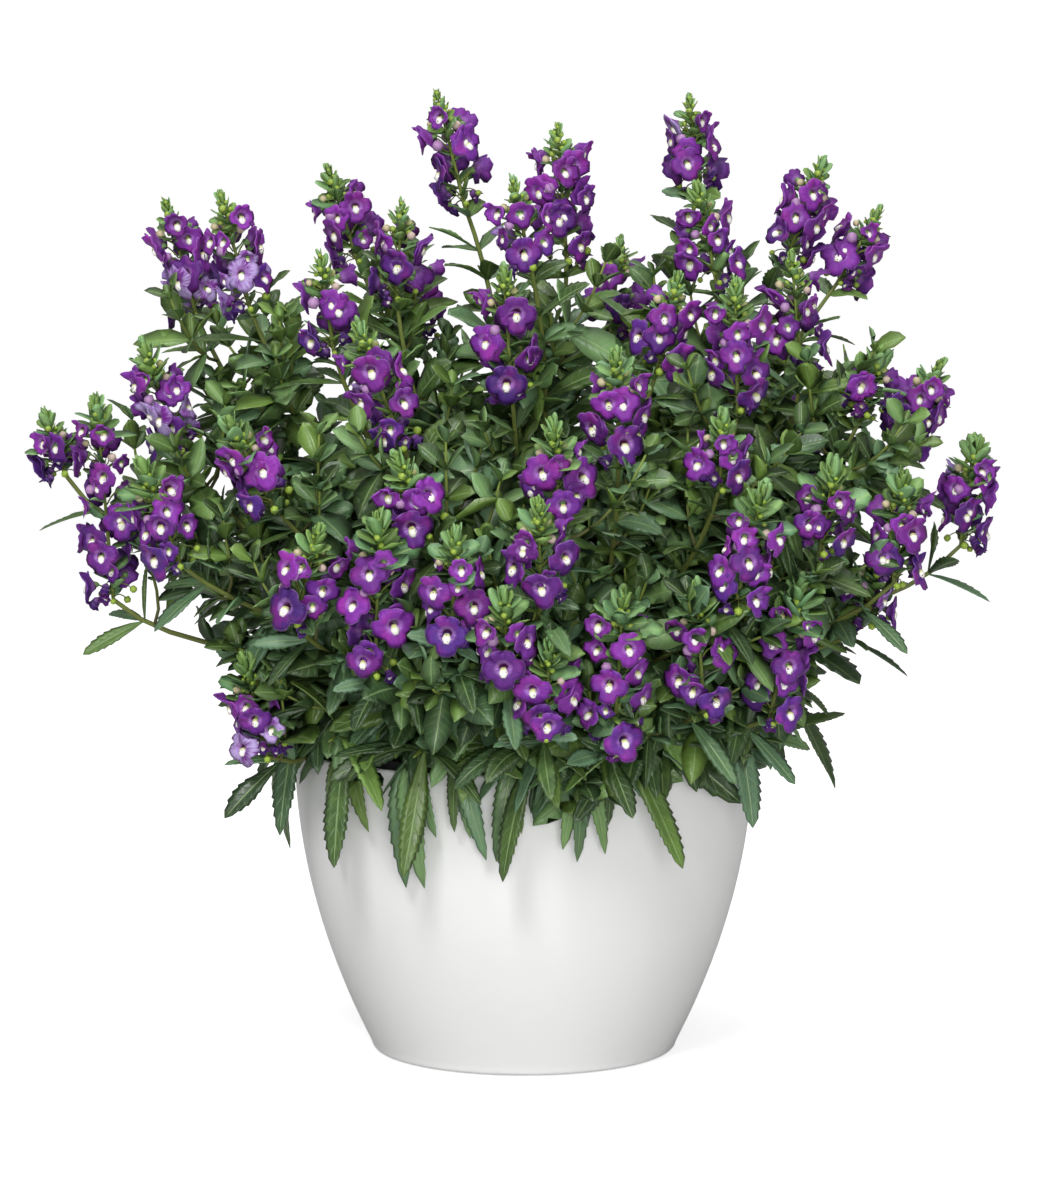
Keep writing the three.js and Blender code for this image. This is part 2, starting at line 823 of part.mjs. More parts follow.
frames.forEach((frame, n) => {
  const top = frame.length - greenTip;
  const ringAt = (height, radius) => ({
    at: shifted(frame.foot, frame.axis, height),
    along: frame.axis,
    radius,
  });
  const rings = [ringAt(rachisStart, rachisRadius)];
  rings.push(...tipRings.map(([height, radius]) => ringAt(top + height, radius)));
  const [crownX, crownY] = crowns[frame.crown];
  const reach = vec(crownX, crownY, soilLevel).distanceTo(frame.foot);
  const nodeCount = clamp(Math.round(reach / reachPerNode), 2, 3);
  const nodes = nodePlaces(nodeCount, ...flowerStemNodes, 100 * n);
  frame.stem = layStem(
    frame.crown, frame.foot, frame.axis, frame.outward, nodes, `stem_${n}`, rings,
  );
});

// Rim shoots end in a spray of large leaves that hang over the pot
const sprays = rimShoots.map(([crown, azimuth, reach, height], n) => {
  const turn = radians(azimuth);
  const outward = vec(Math.cos(turn), Math.sin(turn), 0);
  const end = shifted(vec(0, 0, height), outward, reach);
  const axis = shifted(outward, up, -0.25).normalize();
  const tail = [{ at: shifted(end, axis, shootTail), along: axis, radius: shootTailRadius }];
  const family = `stem_rim_${n}`;
  const nodes = nodePlaces(2, ...rimStemNodes, rimNodeSeed + 100 * n);
  const stem = layStem(crown, end, axis, outward, nodes, family, tail);
  return { crown, family, stem, outward, end, axis };
});

// Blooms: round the spike by the golden angle, or over its outer side only where it leans out low
const bloomVariants = [
  { turn: 0, rise: 0, scale: 1 },
  { turn: 14, rise: 0, scale: 1 },
  { turn: -14, rise: 0, scale: 1 },
  { turn: 0, rise: 3, scale: 0.95 },
  { turn: 0, rise: -3, scale: 0.95 },
  { turn: 28, rise: 2, scale: 0.9 },
  { turn: -28, rise: -2, scale: 0.9 },
  { turn: 0, rise: 0, scale: 0.85 },
  { turn: 45, rise: 0, scale: 0.85 },
  { turn: -45, rise: 0, scale: 0.85 },
  { turn: 70, rise: 3, scale: 0.8 },
  { turn: -70, rise: -3, scale: 0.8 },
];

const lowestBloom = 8;
const allRoundFrom = 380;
const outerSide = 125;
const outwardTurn = 0.25;
const nod = 0.12;

function growBlooms(frame, n) {
  const highest = frame.length - greenTip - 1;
  const allRound = frame.tip.z > allRoundFrom || frame.crown === "back";
  const spread = allRound ? 180 : outerSide;
  const east = squareTo(frame.outward, frame.axis);
  const north = frame.axis.clone().cross(east);
  for (let i = 0; i < frame.blooms; i += 1) {
    const share = frame.blooms > 1 ? i / (frame.blooms - 1) : 0.5;
    const height = mix(lowestBloom, highest, share);
    const golden = (i * goldenRatio + 0.5) % 1;
    const seed = bloomSeed * n + i;
    const spin = spread * (2 * golden - 1) + 12 * (chance(seed) - 0.5);
    const size = bloomSize * (0.95 + 0.1 * chance(seed + 40)) * mix(1, 0.9, share);
    const build = (variant) => {
      const turn = radians(spin + variant.turn);
      const away = shifted(vec(0, 0, 0), east, Math.cos(turn), north, Math.sin(turn));
      const level = shifted(frame.foot, frame.axis, height + variant.rise);
      const centre = shifted(level, away, bloomReach);
      const facing = shifted(away, frame.outward, outwardTurn, frame.axis, -nod).normalize();
      return bloomLimb({
        centre,
        facing,
        upward: squareTo(frame.axis, facing),
        size: size * variant.scale,
      });
    };
    const root = shifted(frame.foot, frame.axis, height - rootBelowBloom);
    const { host, crown } = frame;
    growLimb(host, host.sideFaces, root, bloomVariants, build, `spike_${n}`, crown);
  }
}

frames.forEach(growBlooms);

// Grows the leaves at every node of a stem; their lengths run from the lowest to the highest node
function growLeaves(stem, lengths, kind) {
  const { host, curve, nodes, side } = stem;
  nodes.forEach((node, k) => {
    growNode(host, curve, node, 1 + 2 * k, side, {
      ...kind,
      seed: kind.seed + 10 * k,
      index: k,
      length: mix(...lengths, k / (nodes.length - 1)),
      bud: k === nodes.length - 1,
    });
  });
}

// Rim leaves, then the leaves of the flowering stems, then the buds of the green tips
sprays.forEach((spray, n) => {
  const { host } = spray.stem;
  growLeaves(spray.stem, [rimLeaf, rimLeaf], {
    ...rimStemLeaf,
    seed: rimLeafSeed + 60 * n,
    family: spray.family,
    plant: spray.crown,
  });
  sealEnds(host, shifted(spray.end, spray.axis, shootTip));
  plantSolids[spray.crown].push(host.skin.solid());
});

frames.forEach((frame, n) => {
  const { host } = frame.stem;
  growLeaves(frame.stem, [leafLowest, leafHighest], {
    ...flowerStemLeaf,
    seed: stemLeafSeed + 60 * n,
    family: `stem_${n}`,
    plant: frame.crown,
  });
  const tipGaps = host.loops.length - 3;
  const slots = host.sideFaces.filter((slot) => slot.gap >= tipGaps);
  for (const pick of bractPicks) {
    const slot = slots[pick];
    const face = host.skin.faces[slot.face];
    const middle = host.skin.centre(face);
    const level = shifted(frame.foot, frame.axis, middle.clone().sub(frame.foot).dot(frame.axis));
    const away = middle.clone().sub(level).normalize();
    host.skin.faces[slot.face] = null;
    host.skin.point(face, shifted(middle, away, bractOut, frame.axis, bractUp));
  }
  sealEnds(host, frame.tip);
  plantSolids[frame.crown].push(host.skin.solid());
});

function meshOf(name, solid, material) {
  const { vertProperties, triVerts } = solid.getMesh();
  const geometry = new THREE.BufferGeometry();
  geometry.setAttribute("position", new THREE.BufferAttribute(vertProperties, 3));
  geometry.setIndex(new THREE.BufferAttribute(triVerts, 1));
  geometry.computeVertexNormals();
  const mesh = new THREE.Mesh(geometry, material);
  mesh.name = name;
  return mesh;
}

const group = new THREE.Group();
group.add(meshOf("cover_pot", cover, white));
group.add(meshOf("grow_pot", grow, black));
group.add(meshOf("potting_soil", soil, soilBrown));
for (const [name, solids] of Object.entries(plantSolids)) {
  const plant = wasm.Manifold.union([stubs[name], ...solids]);
  group.add(meshOf(`stems_${name}`, plant, leafGreen));
}
frames.forEach((frame, n) => {
  const number = String(n + 1).padStart(2, "0");
  group.add(meshOf(`flowers_${number}`, frame.host.skin.solid(), petalPurple));
});

export default group;
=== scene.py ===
# Potted angelonia: a white cover pot, a black grow pot with soil, and six plants in flower.
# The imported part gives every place; this script gives each node its finer form and its finish.
import math

import bpy
import numpy as np
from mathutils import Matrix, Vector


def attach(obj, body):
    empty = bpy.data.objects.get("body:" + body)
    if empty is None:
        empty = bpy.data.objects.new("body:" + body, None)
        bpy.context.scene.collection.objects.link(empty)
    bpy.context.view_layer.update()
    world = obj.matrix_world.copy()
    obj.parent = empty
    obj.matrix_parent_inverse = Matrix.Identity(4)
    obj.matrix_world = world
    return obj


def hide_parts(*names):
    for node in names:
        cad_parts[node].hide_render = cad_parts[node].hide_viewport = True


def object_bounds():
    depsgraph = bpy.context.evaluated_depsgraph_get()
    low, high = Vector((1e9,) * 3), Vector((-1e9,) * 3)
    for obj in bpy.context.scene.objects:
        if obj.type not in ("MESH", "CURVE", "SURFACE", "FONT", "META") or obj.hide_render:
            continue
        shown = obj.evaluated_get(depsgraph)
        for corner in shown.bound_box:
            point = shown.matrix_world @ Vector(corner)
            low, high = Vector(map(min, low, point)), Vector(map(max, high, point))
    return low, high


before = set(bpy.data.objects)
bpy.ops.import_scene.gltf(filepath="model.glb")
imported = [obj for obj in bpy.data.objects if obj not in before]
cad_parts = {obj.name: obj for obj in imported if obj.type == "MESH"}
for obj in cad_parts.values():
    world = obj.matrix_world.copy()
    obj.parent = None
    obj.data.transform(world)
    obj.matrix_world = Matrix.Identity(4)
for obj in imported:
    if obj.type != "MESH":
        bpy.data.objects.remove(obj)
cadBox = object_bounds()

for name in ("Cube", "Light", "Camera"):  # what a new Blender file brings along
    if name in bpy.data.objects:
        bpy.data.objects.remove(bpy.data.objects[name])

up = np.array([0.0, 0.0, 1.0])
goldenRatio = 0.618034

# Camera and light
view = {
    "place": (-0.0015, -2.070, 0.440),
    "pitchDown": 5.97,
    "focalLength": 126.0,
    "sensorHeight": 36.0,
    "farEnd": 60.0,
}
light = {
    "world": 0.30, "aimHeight": 0.25,
    "keyPlace": (-0.6, -2.2, 2.2), "keySize": 0.8, "keyPower": 48.0,
    "frontPlace": (0.25, -3.0, 0.45), "frontSize": 1.4, "frontPower": 50.0,
    "topPlace": (0.2, 0.2, 2.8), "topSize": 1.6, "topPower": 34.0,
}


def setCamera():
    data = bpy.data.cameras.new("frontCamera")
    data.sensor_fit = "VERTICAL"
    data.sensor_height = view["sensorHeight"]
    data.lens = view["focalLength"]
    data.clip_end = view["farEnd"]
    camera = bpy.data.objects.new("frontCamera", data)
    camera.location = view["place"]
    camera.rotation_euler = (math.radians(90.0 - view["pitchDown"]), 0.0, 0.0)
    bpy.context.scene.collection.objects.link(camera)
    bpy.context.scene.camera = camera


def addAreaLight(name, place, size, power):
    data = bpy.data.lights.new(name, "AREA")
    data.shape = "DISK"
    data.size = size
    data.energy = power
    lamp = bpy.data.objects.new(name, data)
    lamp.location = place
    towards = np.array([0.0, 0.0, light["aimHeight"]]) - np.array(place)
    level = math.hypot(towards[0], towards[1])
    turn = math.atan2(towards[1], towards[0]) - math.pi / 2
    lamp.rotation_euler = (math.atan2(level, -towards[2]), 0.0, turn)
    bpy.context.scene.collection.objects.link(lamp)


def setLights():
    world = bpy.data.worlds.new("paleWorld")
    world.use_nodes = True
    background = world.node_tree.nodes["Background"]
    background.inputs["Color"].default_value = (1.0, 1.0, 1.0, 1.0)
    background.inputs["Strength"].default_value = light["world"]
    bpy.context.scene.world = world
    for lamp in ("key", "front", "top"):
        addAreaLight(lamp + "Light", *(light[lamp + part] for part in ("Place", "Size", "Power")))
    bpy.context.scene.view_settings.view_transform = "Standard"


setCamera()
setLights()
print("camera and lights set")


# Vectors and numbers; unit: v / |v|
def unit(v):
    return v / np.linalg.norm(v, axis=-1, keepdims=True)


# the sum of a b along the last axis, which stays as an axis of one
def dot(a, b):
    return np.sum(a * b, axis=-1, keepdims=True)


# the part of a direction that is square to an axis, as a unit vector
def squareTo(direction, axis):
    return unit(direction - axis * dot(direction, axis))


# the same repeatable number from 0 to 1 for each seed as the part's own rule
def chance(seed):
    value = np.sin(np.asarray(seed, float) * 12.9898) * 43758.5453
    return value - np.floor(value)


# a + (b - a) share
def mix(a, b, share):
    return a + (b - a) * share


# directions round an axis: east cos(turn) + north sin(turn)
def roundAbout(east, north, turn):
    return np.cos(turn)[..., None] * east + np.sin(turn)[..., None] * north


# sRGB from 0 to 255 as linear colour
def paint(red, green, blue):
    values = np.array([red, green, blue]) / 255.0
    amounts = np.where(values <= 0.04045, values / 12.92, ((values + 0.055) / 1.055) ** 2.4)
    return (*amounts.tolist(), 1.0)


# cubic curves: (1-u)^3 a + 3u(1-u)^2 b + 3u^2(1-u) c + u^3 d, for arrays of control points
def curvePoints(control, u):
    u = np.asarray(u, float)[..., None]
    a, b, c, d = (control[..., k, :] for k in range(4))
    return (1 - u) ** 3 * a + 3 * u * (1 - u) ** 2 * b + 3 * u * u * (1 - u) * c + u ** 3 * d


# their direction: (1-u)^2 (b-a) + 2u(1-u) (c-b) + u^2 (d-c)
def curveAlong(control, u):
    u = np.asarray(u, float)[..., None]
    a, b, c, d = (control[..., k, :] for k in range(4))
    return unit((1 - u) ** 2 * (b - a) + 2 * u * (1 - u) * (c - b) + u * u * (d - c))


def curveAt(control, u):
    return curvePoints(control, u), curveAlong(control, u)


# Swept shapes are collected in a bag, and a bag becomes one mesh
def newBag():
    return {"points": [], "uv": [], "tone": [], "age": [], "faces": [], "slots": [], "count": 0}


# a swept shape: point (shape i, station s, corner k); quads join station s to s + 1 all round,
# and the two end loops are closed by one face each
def addSweep(bag, loops, uv, tone, age, slot):
    shapes, stations, corners = loops.shape[:3]
    index = np.arange(shapes * stations * corners).reshape(shapes, stations, corners)
    index = index + bag["count"]
    ahead = np.roll(index, -1, axis=2)
    quads = np.stack([index[:, :-1], ahead[:, :-1], ahead[:, 1:], index[:, 1:]], axis=-1)
    slots = np.broadcast_to(np.asarray(slot), (stations - 1,))
    bag["faces"] += quads.reshape(-1, 4).tolist()
    bag["slots"].append(np.broadcast_to(slots[None, :, None], quads.shape[:3]).reshape(-1))
    bag["faces"] += index[:, 0, ::-1].tolist() + index[:, -1].tolist()
    bag["slots"].append(np.repeat([slots[0], slots[-1]], shapes))
    bag["points"].append(loops.reshape(-1, 3))
    bag["uv"].append(np.broadcast_to(uv, (*loops.shape[:3], 2)).reshape(-1, 2))
    for name, value in (("tone", tone), ("age", age)):
        value = np.asarray(value, float)
        if value.ndim == 1:
            value = value[:, None, None]
        bag[name].append(np.broadcast_to(value, loops.shape[:3]).reshape(-1))
    bag["count"] += index.size


def trianglesOf(bag):
    return sum(len(face) - 2 for face in bag["faces"])


# puts a bag into one mesh object in metres, which stands for a node of the part
def makePiece(name, bag, materials, node):
    mesh = bpy.data.meshes.new(name)
    points = np.concatenate(bag["points"]) * 0.001
    mesh.from_pydata(points.tolist(), [], bag["faces"])
    for material in materials:
        mesh.materials.append(material)
    mesh.polygons.foreach_set("material_index", np.concatenate(bag["slots"]).astype(np.int32))
    mesh.polygons.foreach_set("use_smooth", np.ones(len(mesh.polygons), bool))
    corner = np.empty(len(mesh.loops), np.int32)
    mesh.loops.foreach_get("vertex_index", corner)
    layer = mesh.uv_layers.new(name="shapeUV")
    layer.data.foreach_set("uv", np.concatenate(bag["uv"])[corner].astype(np.float32).ravel())
    for key in ("tone", "age"):
        values = mesh.attributes.new(key, "FLOAT", "POINT")
        values.data.foreach_set("value", np.concatenate(bag[key]).astype(np.float32))
    mesh.update()
    piece = bpy.data.objects.new(name, mesh)
    bpy.context.scene.collection.objects.link(piece)
    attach(piece, "root")
    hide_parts(node)


# loops round a path: centre + radius (cos(turn) east + sin(turn) north), with north = along x east
def tubeLoops(centres, radius, guide, corners):
    along = unit(np.gradient(centres, axis=1))
    east = squareTo(np.broadcast_to(guide, centres.shape), along)
    north = np.cross(along, east)
    turn = 2 * np.pi * np.arange(corners) / corners
    ring = np.cos(turn)[:, None] * east[:, :, None] + np.sin(turn)[:, None] * north[:, :, None]
    radius = np.broadcast_to(radius, centres.shape[:2])
    return centres[:, :, None] + radius[:, :, None, None] * ring


# directions that no tube of its kind runs along; a tube's first corner lies towards its own
tubeGuide = {
    "stem": np.array([0.2, 0.9, 0.1]), "stalk": np.array([0.31, 0.87, 0.38]),
    "crumb": np.array([1.0, 0.2, 0.0]),
}


# uv of a tube: u runs along it, v round it
def tubeUV(stations, corners):
    u, v = np.meshgrid(np.linspace(0, 1, stations), np.arange(corners) / corners, indexing="ij")
    return np.stack([u, v], axis=-1)


# Shader helpers
def setInput(tree, socket, value):
    if isinstance(value, bpy.types.NodeSocket):
        tree.links.new(value, socket)
    else:
        socket.default_value = value


def addNode(tree, kind, inputs=None, **settings):
    node = tree.nodes.new("ShaderNode" + kind)
    for key, value in settings.items():
        setattr(node, key, value)
    for key, value in (inputs or {}).items():
        setInput(tree, node.inputs[key], value)
    return node


def calculate(tree, operation, *values):
    return addNode(tree, "Math", dict(enumerate(values)), operation=operation).outputs[0]


# value a + b
def linear(tree, value, a, b):
    return calculate(tree, "MULTIPLY_ADD", value, a, b)


def product(tree, *values):
    result = values[0]
    for value in values[1:]:
        result = calculate(tree, "MULTIPLY", result, value)
    return result


# 0 at the start and 1 at the end of a range, smooth in between; the range may run downwards
def fade(tree, value, start, end):
    inputs = {"Value": value, "From Min": start, "From Max": end}
    return addNode(tree, "MapRange", inputs, interpolation_type="SMOOTHSTEP").outputs[0]


def blend(tree, factor, first, second, mode="MIX"):
    inputs = {0: factor, 6: first, 7: second}
    return addNode(tree, "Mix", inputs, data_type="RGBA", blend_type=mode).outputs[2]


# a colour made darker or lighter by a value
def shaded(tree, colour, value):
    grey = addNode(tree, "CombineColor", {0: value, 1: value, 2: value}).outputs[0]
    return blend(tree, 1.0, colour, grey, "MULTIPLY")


def attributeOf(tree, name):
    return addNode(tree, "Attribute", None, attribute_name=name).outputs["Fac"]


def shapeUV(tree):
    uv = addNode(tree, "UVMap", None, uv_map="shapeUV").outputs[0]
    return addNode(tree, "SeparateXYZ", {0: uv}).outputs


# noise in the object's own space; the scale is in waves a metre
def grainOf(tree, scale, detail):
    place = addNode(tree, "TexCoord").outputs["Object"]
    return addNode(tree, "TexNoise", {"Vector": place, "Scale": scale, "Detail": detail}).outputs[0]


def newGroup(name, inputs, outputs):
    tree = bpy.data.node_groups.new(name, "ShaderNodeTree")
    for label, kind in inputs.items():
        tree.interface.new_socket(label, in_out="INPUT", socket_type="NodeSocket" + kind)
    for label, kind in outputs.items():
        tree.interface.new_socket(label, in_out="OUTPUT", socket_type="NodeSocket" + kind)
    return tree, tree.nodes.new("NodeGroupInput").outputs, tree.nodes.new("NodeGroupOutput").inputs


# a group placed in a material, with the values of a finish for its inputs
def useGroup(tree, group, labels, finish):
    values = {label: finish[label.lower()] for label in labels}
    return addNode(tree, "Group", values, node_tree=group).outputs


def newMaterial(name, roughness, specular):
    material = bpy.data.materials.new(name)
    material.use_nodes = True
    shader = material.node_tree.nodes["Principled BSDF"]
    shader.inputs["Roughness"].default_value = roughness
    shader.inputs["Specular IOR Level"].default_value = specular
    return material, material.node_tree


# links a finish to its shader: colour, a bump from a height of its own strength and of a depth in
# metres, and a roughness where it varies
def finished(material, colour, height, strength, depth, rough=None):
    tree = material.node_tree
    inputs = tree.nodes["Principled BSDF"].inputs
    bump = addNode(tree, "Bump", {"Height": height, "Strength": strength, "Distance": depth})
    tree.links.new(colour, inputs["Base Color"])
    tree.links.new(bump.outputs[0], inputs["Normal"])
    if rough:
        tree.links.new(rough, inputs["Roughness"])
    return material


# Finishes of the plants
# in both finishes the pale bluish green after fresh is a painted sheen, mixed into leaves of a
# higher tone
leafFinish = {
    "dark": paint(48, 74, 42), "fresh": paint(112, 144, 62), "sheen": paint(98, 132, 104),
    "rib": paint(142, 168, 110), "veins": 9.0, "roughness": 0.38, "specular": 0.55,
}
bractFinish = {
    "dark": paint(72, 108, 66), "fresh": paint(124, 158, 80), "sheen": paint(104, 144, 110),
    "rib": paint(150, 176, 104), "veins": 5.0, "roughness": 0.45, "specular": 0.4,
}
petalFinish = {
    "young": paint(131, 50, 157), "old": paint(80, 41, 128), "pale": paint(182, 164, 214),
    "warm": paint(150, 46, 150), "ring": paint(172, 126, 200), "throat": paint(66, 14, 46),
    "roughness": 0.5, "specular": 0.22,
}
petalBackFinish = {
    "young": paint(118, 52, 146), "old": paint(72, 38, 112), "pale": paint(168, 146, 204),
    "warm": paint(132, 56, 144), "ring": paint(146, 100, 176), "throat": paint(112, 92, 104),
    "roughness": 0.55, "specular": 0.2,
}
# what the finishes hand to the groups
leafLabels = {"Dark": "Color", "Fresh": "Color", "Sheen": "Color", "Rib": "Color", "Veins": "Float"}
petalLabels = dict.fromkeys(("Young", "Old", "Pale", "Warm", "Ring", "Throat"), "Color")


# leaf: midrib at the middle of v, side veins as slanted lines of u and v, patches from noise
def leafVeinGroup():
    tree, given, results = newGroup(
        "leafVeins", leafLabels, {"Colour": "Color", "Height": "Float", "Patches": "Float"})
    along, side = shapeUV(tree)[:2]
    across = calculate(tree, "ABSOLUTE", linear(tree, side, 2.0, -1.0))
    midrib = fade(tree, across, 0.11, 0.02)
    slanted = linear(tree, across, -1.5, product(tree, along, given["Veins"]))
    line = calculate(tree, "SUBTRACT", calculate(tree, "FRACT", slanted), 0.5)
    line = fade(tree, calculate(tree, "ABSOLUTE", line), 0.10, 0.0)
    veins = product(tree, line, fade(tree, across, 1.0, 0.75))
    patches = grainOf(tree, 160.0, 3.0)
    tone = attributeOf(tree, "tone")
    fresh = linear(tree, patches, 0.5, -0.25)
    fresh = fade(tree, calculate(tree, "ADD", attributeOf(tree, "age"), fresh), 0.0, 1.0)
    colour = blend(tree, fresh, given["Dark"], given["Fresh"])
    # painted sheen: leaves of a higher tone are mixed towards a pale bluish green that stands for
    # their sheen
    colour = blend(tree, product(tree, fade(tree, tone, 0.45, 1.0), 0.55), colour, given["Sheen"])
    colour = shaded(tree, colour, linear(tree, tone, 0.75, 0.60))
    marks = calculate(tree, "MAXIMUM", product(tree, midrib, 0.55), product(tree, veins, 0.18))
    tree.links.new(blend(tree, marks, colour, given["Rib"]), results["Colour"])
    raised = product(tree, calculate(tree, "MAXIMUM", midrib, veins), -0.8)
    tree.links.new(linear(tree, patches, 0.5, raised), results["Height"])
    tree.links.new(patches, results["Patches"])
    return tree


leafVeins = leafVeinGroup()


def leafMaterial(name, finish):
    material, tree = newMaterial(name, finish["roughness"], finish["specular"])
    outputs = useGroup(tree, leafVeins, leafLabels, finish)
    rough = linear(tree, outputs["Patches"], 0.25, finish["roughness"] - 0.12)
    return finished(material, outputs["Colour"], outputs["Height"], 0.4, 0.0006, rough)


# stems: brown-green low down, yellow-green higher up, with fine lengthwise ridges
def stemMaterial():
    material, tree = newMaterial("stemBark", 0.5, 0.4)
    grain = grainOf(tree, 220.0, 2.0)
    colour = blend(tree, attributeOf(tree, "age"), paint(70, 70, 40), paint(128, 154, 62))
    colour = blend(tree, product(tree, grain, 0.45), colour, paint(92, 72, 52))
    ridges = calculate(tree, "SINE", product(tree, shapeUV(tree)[1], 6 * 2 * math.pi))
    return finished(material, colour, calculate(tree, "ADD", ridges, grain), 0.3, 0.0003)


# petals: u and v run across and up the flower; the outer edge is at 1 from the middle;
# a small dark patch in the throat's upper half, a pale ring, streaks outwards, a paler rim
def petalMarkGroup():
    tree, given, results = newGroup(
        "petalMarks", petalLabels, {"Colour": "Color", "Height": "Float"})
    across, height = (linear(tree, value, 2.0, -1.0) for value in shapeUV(tree)[:2])
    out = calculate(tree, "SQRT", calculate(tree, "ADD", product(tree, across, across),
                                            product(tree, height, height)))
    turn = calculate(tree, "ARCTAN2", height, across)
    tone, age = attributeOf(tree, "tone"), attributeOf(tree, "age")
    place = addNode(tree, "CombineXYZ", {0: product(tree, turn, 6.0), 1: product(tree, out, 1.1),
                                         2: product(tree, tone, 40.0)}).outputs[0]
    streaks = addNode(tree, "TexNoise", {"Vector": place, "Scale": 2.0, "Detail": 4.0}).outputs[0]
    clouds = grainOf(tree, 110.0, 2.0)
    colour = blend(tree, age, given["Young"], given["Old"])
    colour = blend(tree, product(tree, fade(tree, clouds, 0.46, 0.70), 0.6), colour, given["Warm"])
    bright = linear(tree, streaks, 0.8, 0.42)
    bright = product(tree, bright, linear(tree, tone, 0.5, 0.78))
    colour = shaded(tree, colour, bright)
    pale = linear(tree, clouds, 0.6, product(tree, streaks, 0.4))
    pale = product(tree, fade(tree, age, -0.05, -0.3), fade(tree, pale, 0.40, 0.56), 0.85)
    colour = blend(tree, pale, colour, given["Pale"])
    ring = product(tree, fade(tree, out, 0.14, 0.22), fade(tree, out, 0.52, 0.30),
                   fade(tree, streaks, 0.20, 0.70))
    rim = product(tree, fade(tree, out, 0.90, 1.0), 0.5)
    colour = blend(tree, calculate(tree, "MAXIMUM", ring, rim), colour, given["Ring"])
    throat = product(tree, fade(tree, out, 0.30, 0.20), fade(tree, height, -0.08, 0.04),
                     fade(tree, streaks, 0.36, 0.50))
    veins = product(tree, fade(tree, streaks, 0.50, 0.60), fade(tree, out, 0.70, 0.30), 0.6)
    throat = calculate(tree, "MAXIMUM", throat, product(tree, veins, fade(tree, height, 0.0, 0.15)))
    tree.links.new(blend(tree, throat, colour, given["Throat"]), results["Colour"])
    tree.links.new(streaks, results["Height"])
    return tree


petalMarks = petalMarkGroup()


def petalMaterial(name, finish):
    material, tree = newMaterial(name, finish["roughness"], finish["specular"])
    outputs = useGroup(tree, petalMarks, petalLabels, finish)
    return finished(material, outputs["Colour"], outputs["Height"], 0.35, 0.0008)


# the white knob in the throat, yellow-green at its upper end, with a few dark specks
def knobMaterial():
    material, tree = newMaterial("throatKnob", 0.4, 0.4)
    specks = grainOf(tree, 900.0, 1.0)
    yellow = product(tree, fade(tree, shapeUV(tree)[0], 0.56, 0.84), 0.8)
    colour = blend(tree, yellow, paint(244, 242, 234), paint(186, 192, 84))
    colour = blend(tree, fade(tree, specks, 0.64, 0.72), colour, paint(112, 60, 84))
    return finished(material, colour, specks, 0.2, 0.0003)


# buds: yellow-green when small, cream and lilac as they fill
def budMaterial():
    material, tree = newMaterial("budSkin", 0.42, 0.4)
    mottle = grainOf(tree, 420.0, 2.0)
    ripe = attributeOf(tree, "age")
    colour = blend(tree, fade(tree, ripe, 0.25, 0.60), paint(152, 178, 66), paint(204, 186, 156))
    colour = blend(tree, fade(tree, ripe, 0.60, 0.95), colour, paint(176, 124, 186))
    colour = blend(tree, product(tree, mottle, 0.35), colour, paint(106, 134, 50))
    return finished(material, colour, mottle, 0.25, 0.0004)


leafBlade = leafMaterial("leafBlade", leafFinish)
bractBlade = leafMaterial("bractBlade", bractFinish)
stemBark = stemMaterial()
petalFront = petalMaterial("petalFront", petalFinish)
petalBack = petalMaterial("petalBack", petalBackFinish)
throatKnob = knobMaterial()
budSkin = budMaterial()
print("finishes made")

# Pots and soil, in millimetres
pot = {
    "height": 152.0, "rimRadius": 114.0, "baseRadius": 74.4, "wall": 3.0, "floor": 4.0,
    "foot": 3.0, "segments": 160,
}
growPot = {
    "base": 4.3, "top": 156.0, "footRadius": 67.0, "topRadius": 106.4, "wall": 1.6, "floor": 3.0,
    "band": 14.0, "bandRadius": 109.2, "lip": 1.0, "segments": 120,
}
soil = {
    "base": 7.6, "level": 144.0, "edgeRadius": 84.0, "segments": 120, "settled": 0.6,
    "dome": 1.5, "domeWidth": 40.0, "wave": 0.9, "crumbs": 900, "crumbReach": 92.0,
}


# the cover pot bulges outwards: radius = rim - (rim - base) (1 - z / height)^2
def potRadius(z):
    fall = 1 - z / pot["height"]
    return pot["rimRadius"] - (pot["rimRadius"] - pot["baseRadius"]) * fall * fall


# the grow pot is a straight cone
def growRadius(z):
    share = (z - growPot["base"]) / (growPot["top"] - growPot["base"])
    return mix(growPot["footRadius"], growPot["topRadius"], share)


# a turned shape: radius and height of a profile, swept round +Z; each profile point is a station
def turned(profile, segments):
    profile = np.asarray(profile, float)
    turn = 2 * np.pi * np.arange(segments) / segments
    ring = np.stack([np.cos(turn), np.sin(turn)], axis=-1)
    flat = profile[:, 0, None, None] * ring[None]
    height = np.broadcast_to(profile[:, 1, None, None], (*flat.shape[:2], 1))
    return np.concatenate([flat, height], axis=-1)[None]


# a turned shape as a piece of its own
def makeTurned(name, loops, materials, node):
    bag = newBag()
    addSweep(bag, loops, (0, 0), 0.5, 0.0, 0)
    makePiece(name, bag, materials, node)


# part of a round between two angles, as radius and height pairs
def rounded(radius, height, size, start, end, steps):
    turn = np.radians(np.linspace(start, end, steps))
    return [(radius + size * math.cos(t), height + size * math.sin(t)) for t in turn]


# the soil is domed: height = level - settled + dome cos(reach / width)
def soilTop(reach):
    return soil["level"] - soil["settled"] + soil["dome"] * np.cos(reach / soil["domeWidth"])


# white, a little cloudy in colour and gloss, with a fine moulded grain
def potMaterial():
    material, tree = newMaterial("whiteGlaze", 0.34, 0.5)
    cloud = grainOf(tree, 9.0, 3.0)
    grain = grainOf(tree, 900.0, 2.0)
    colour = blend(tree, cloud, paint(222, 222, 221), paint(232, 232, 231))
    rough = linear(tree, cloud, 0.16, 0.32)
    height = linear(tree, grain, 0.15, product(tree, cloud, 0.4))
    return finished(material, colour, height, 0.08, 0.0006, rough)


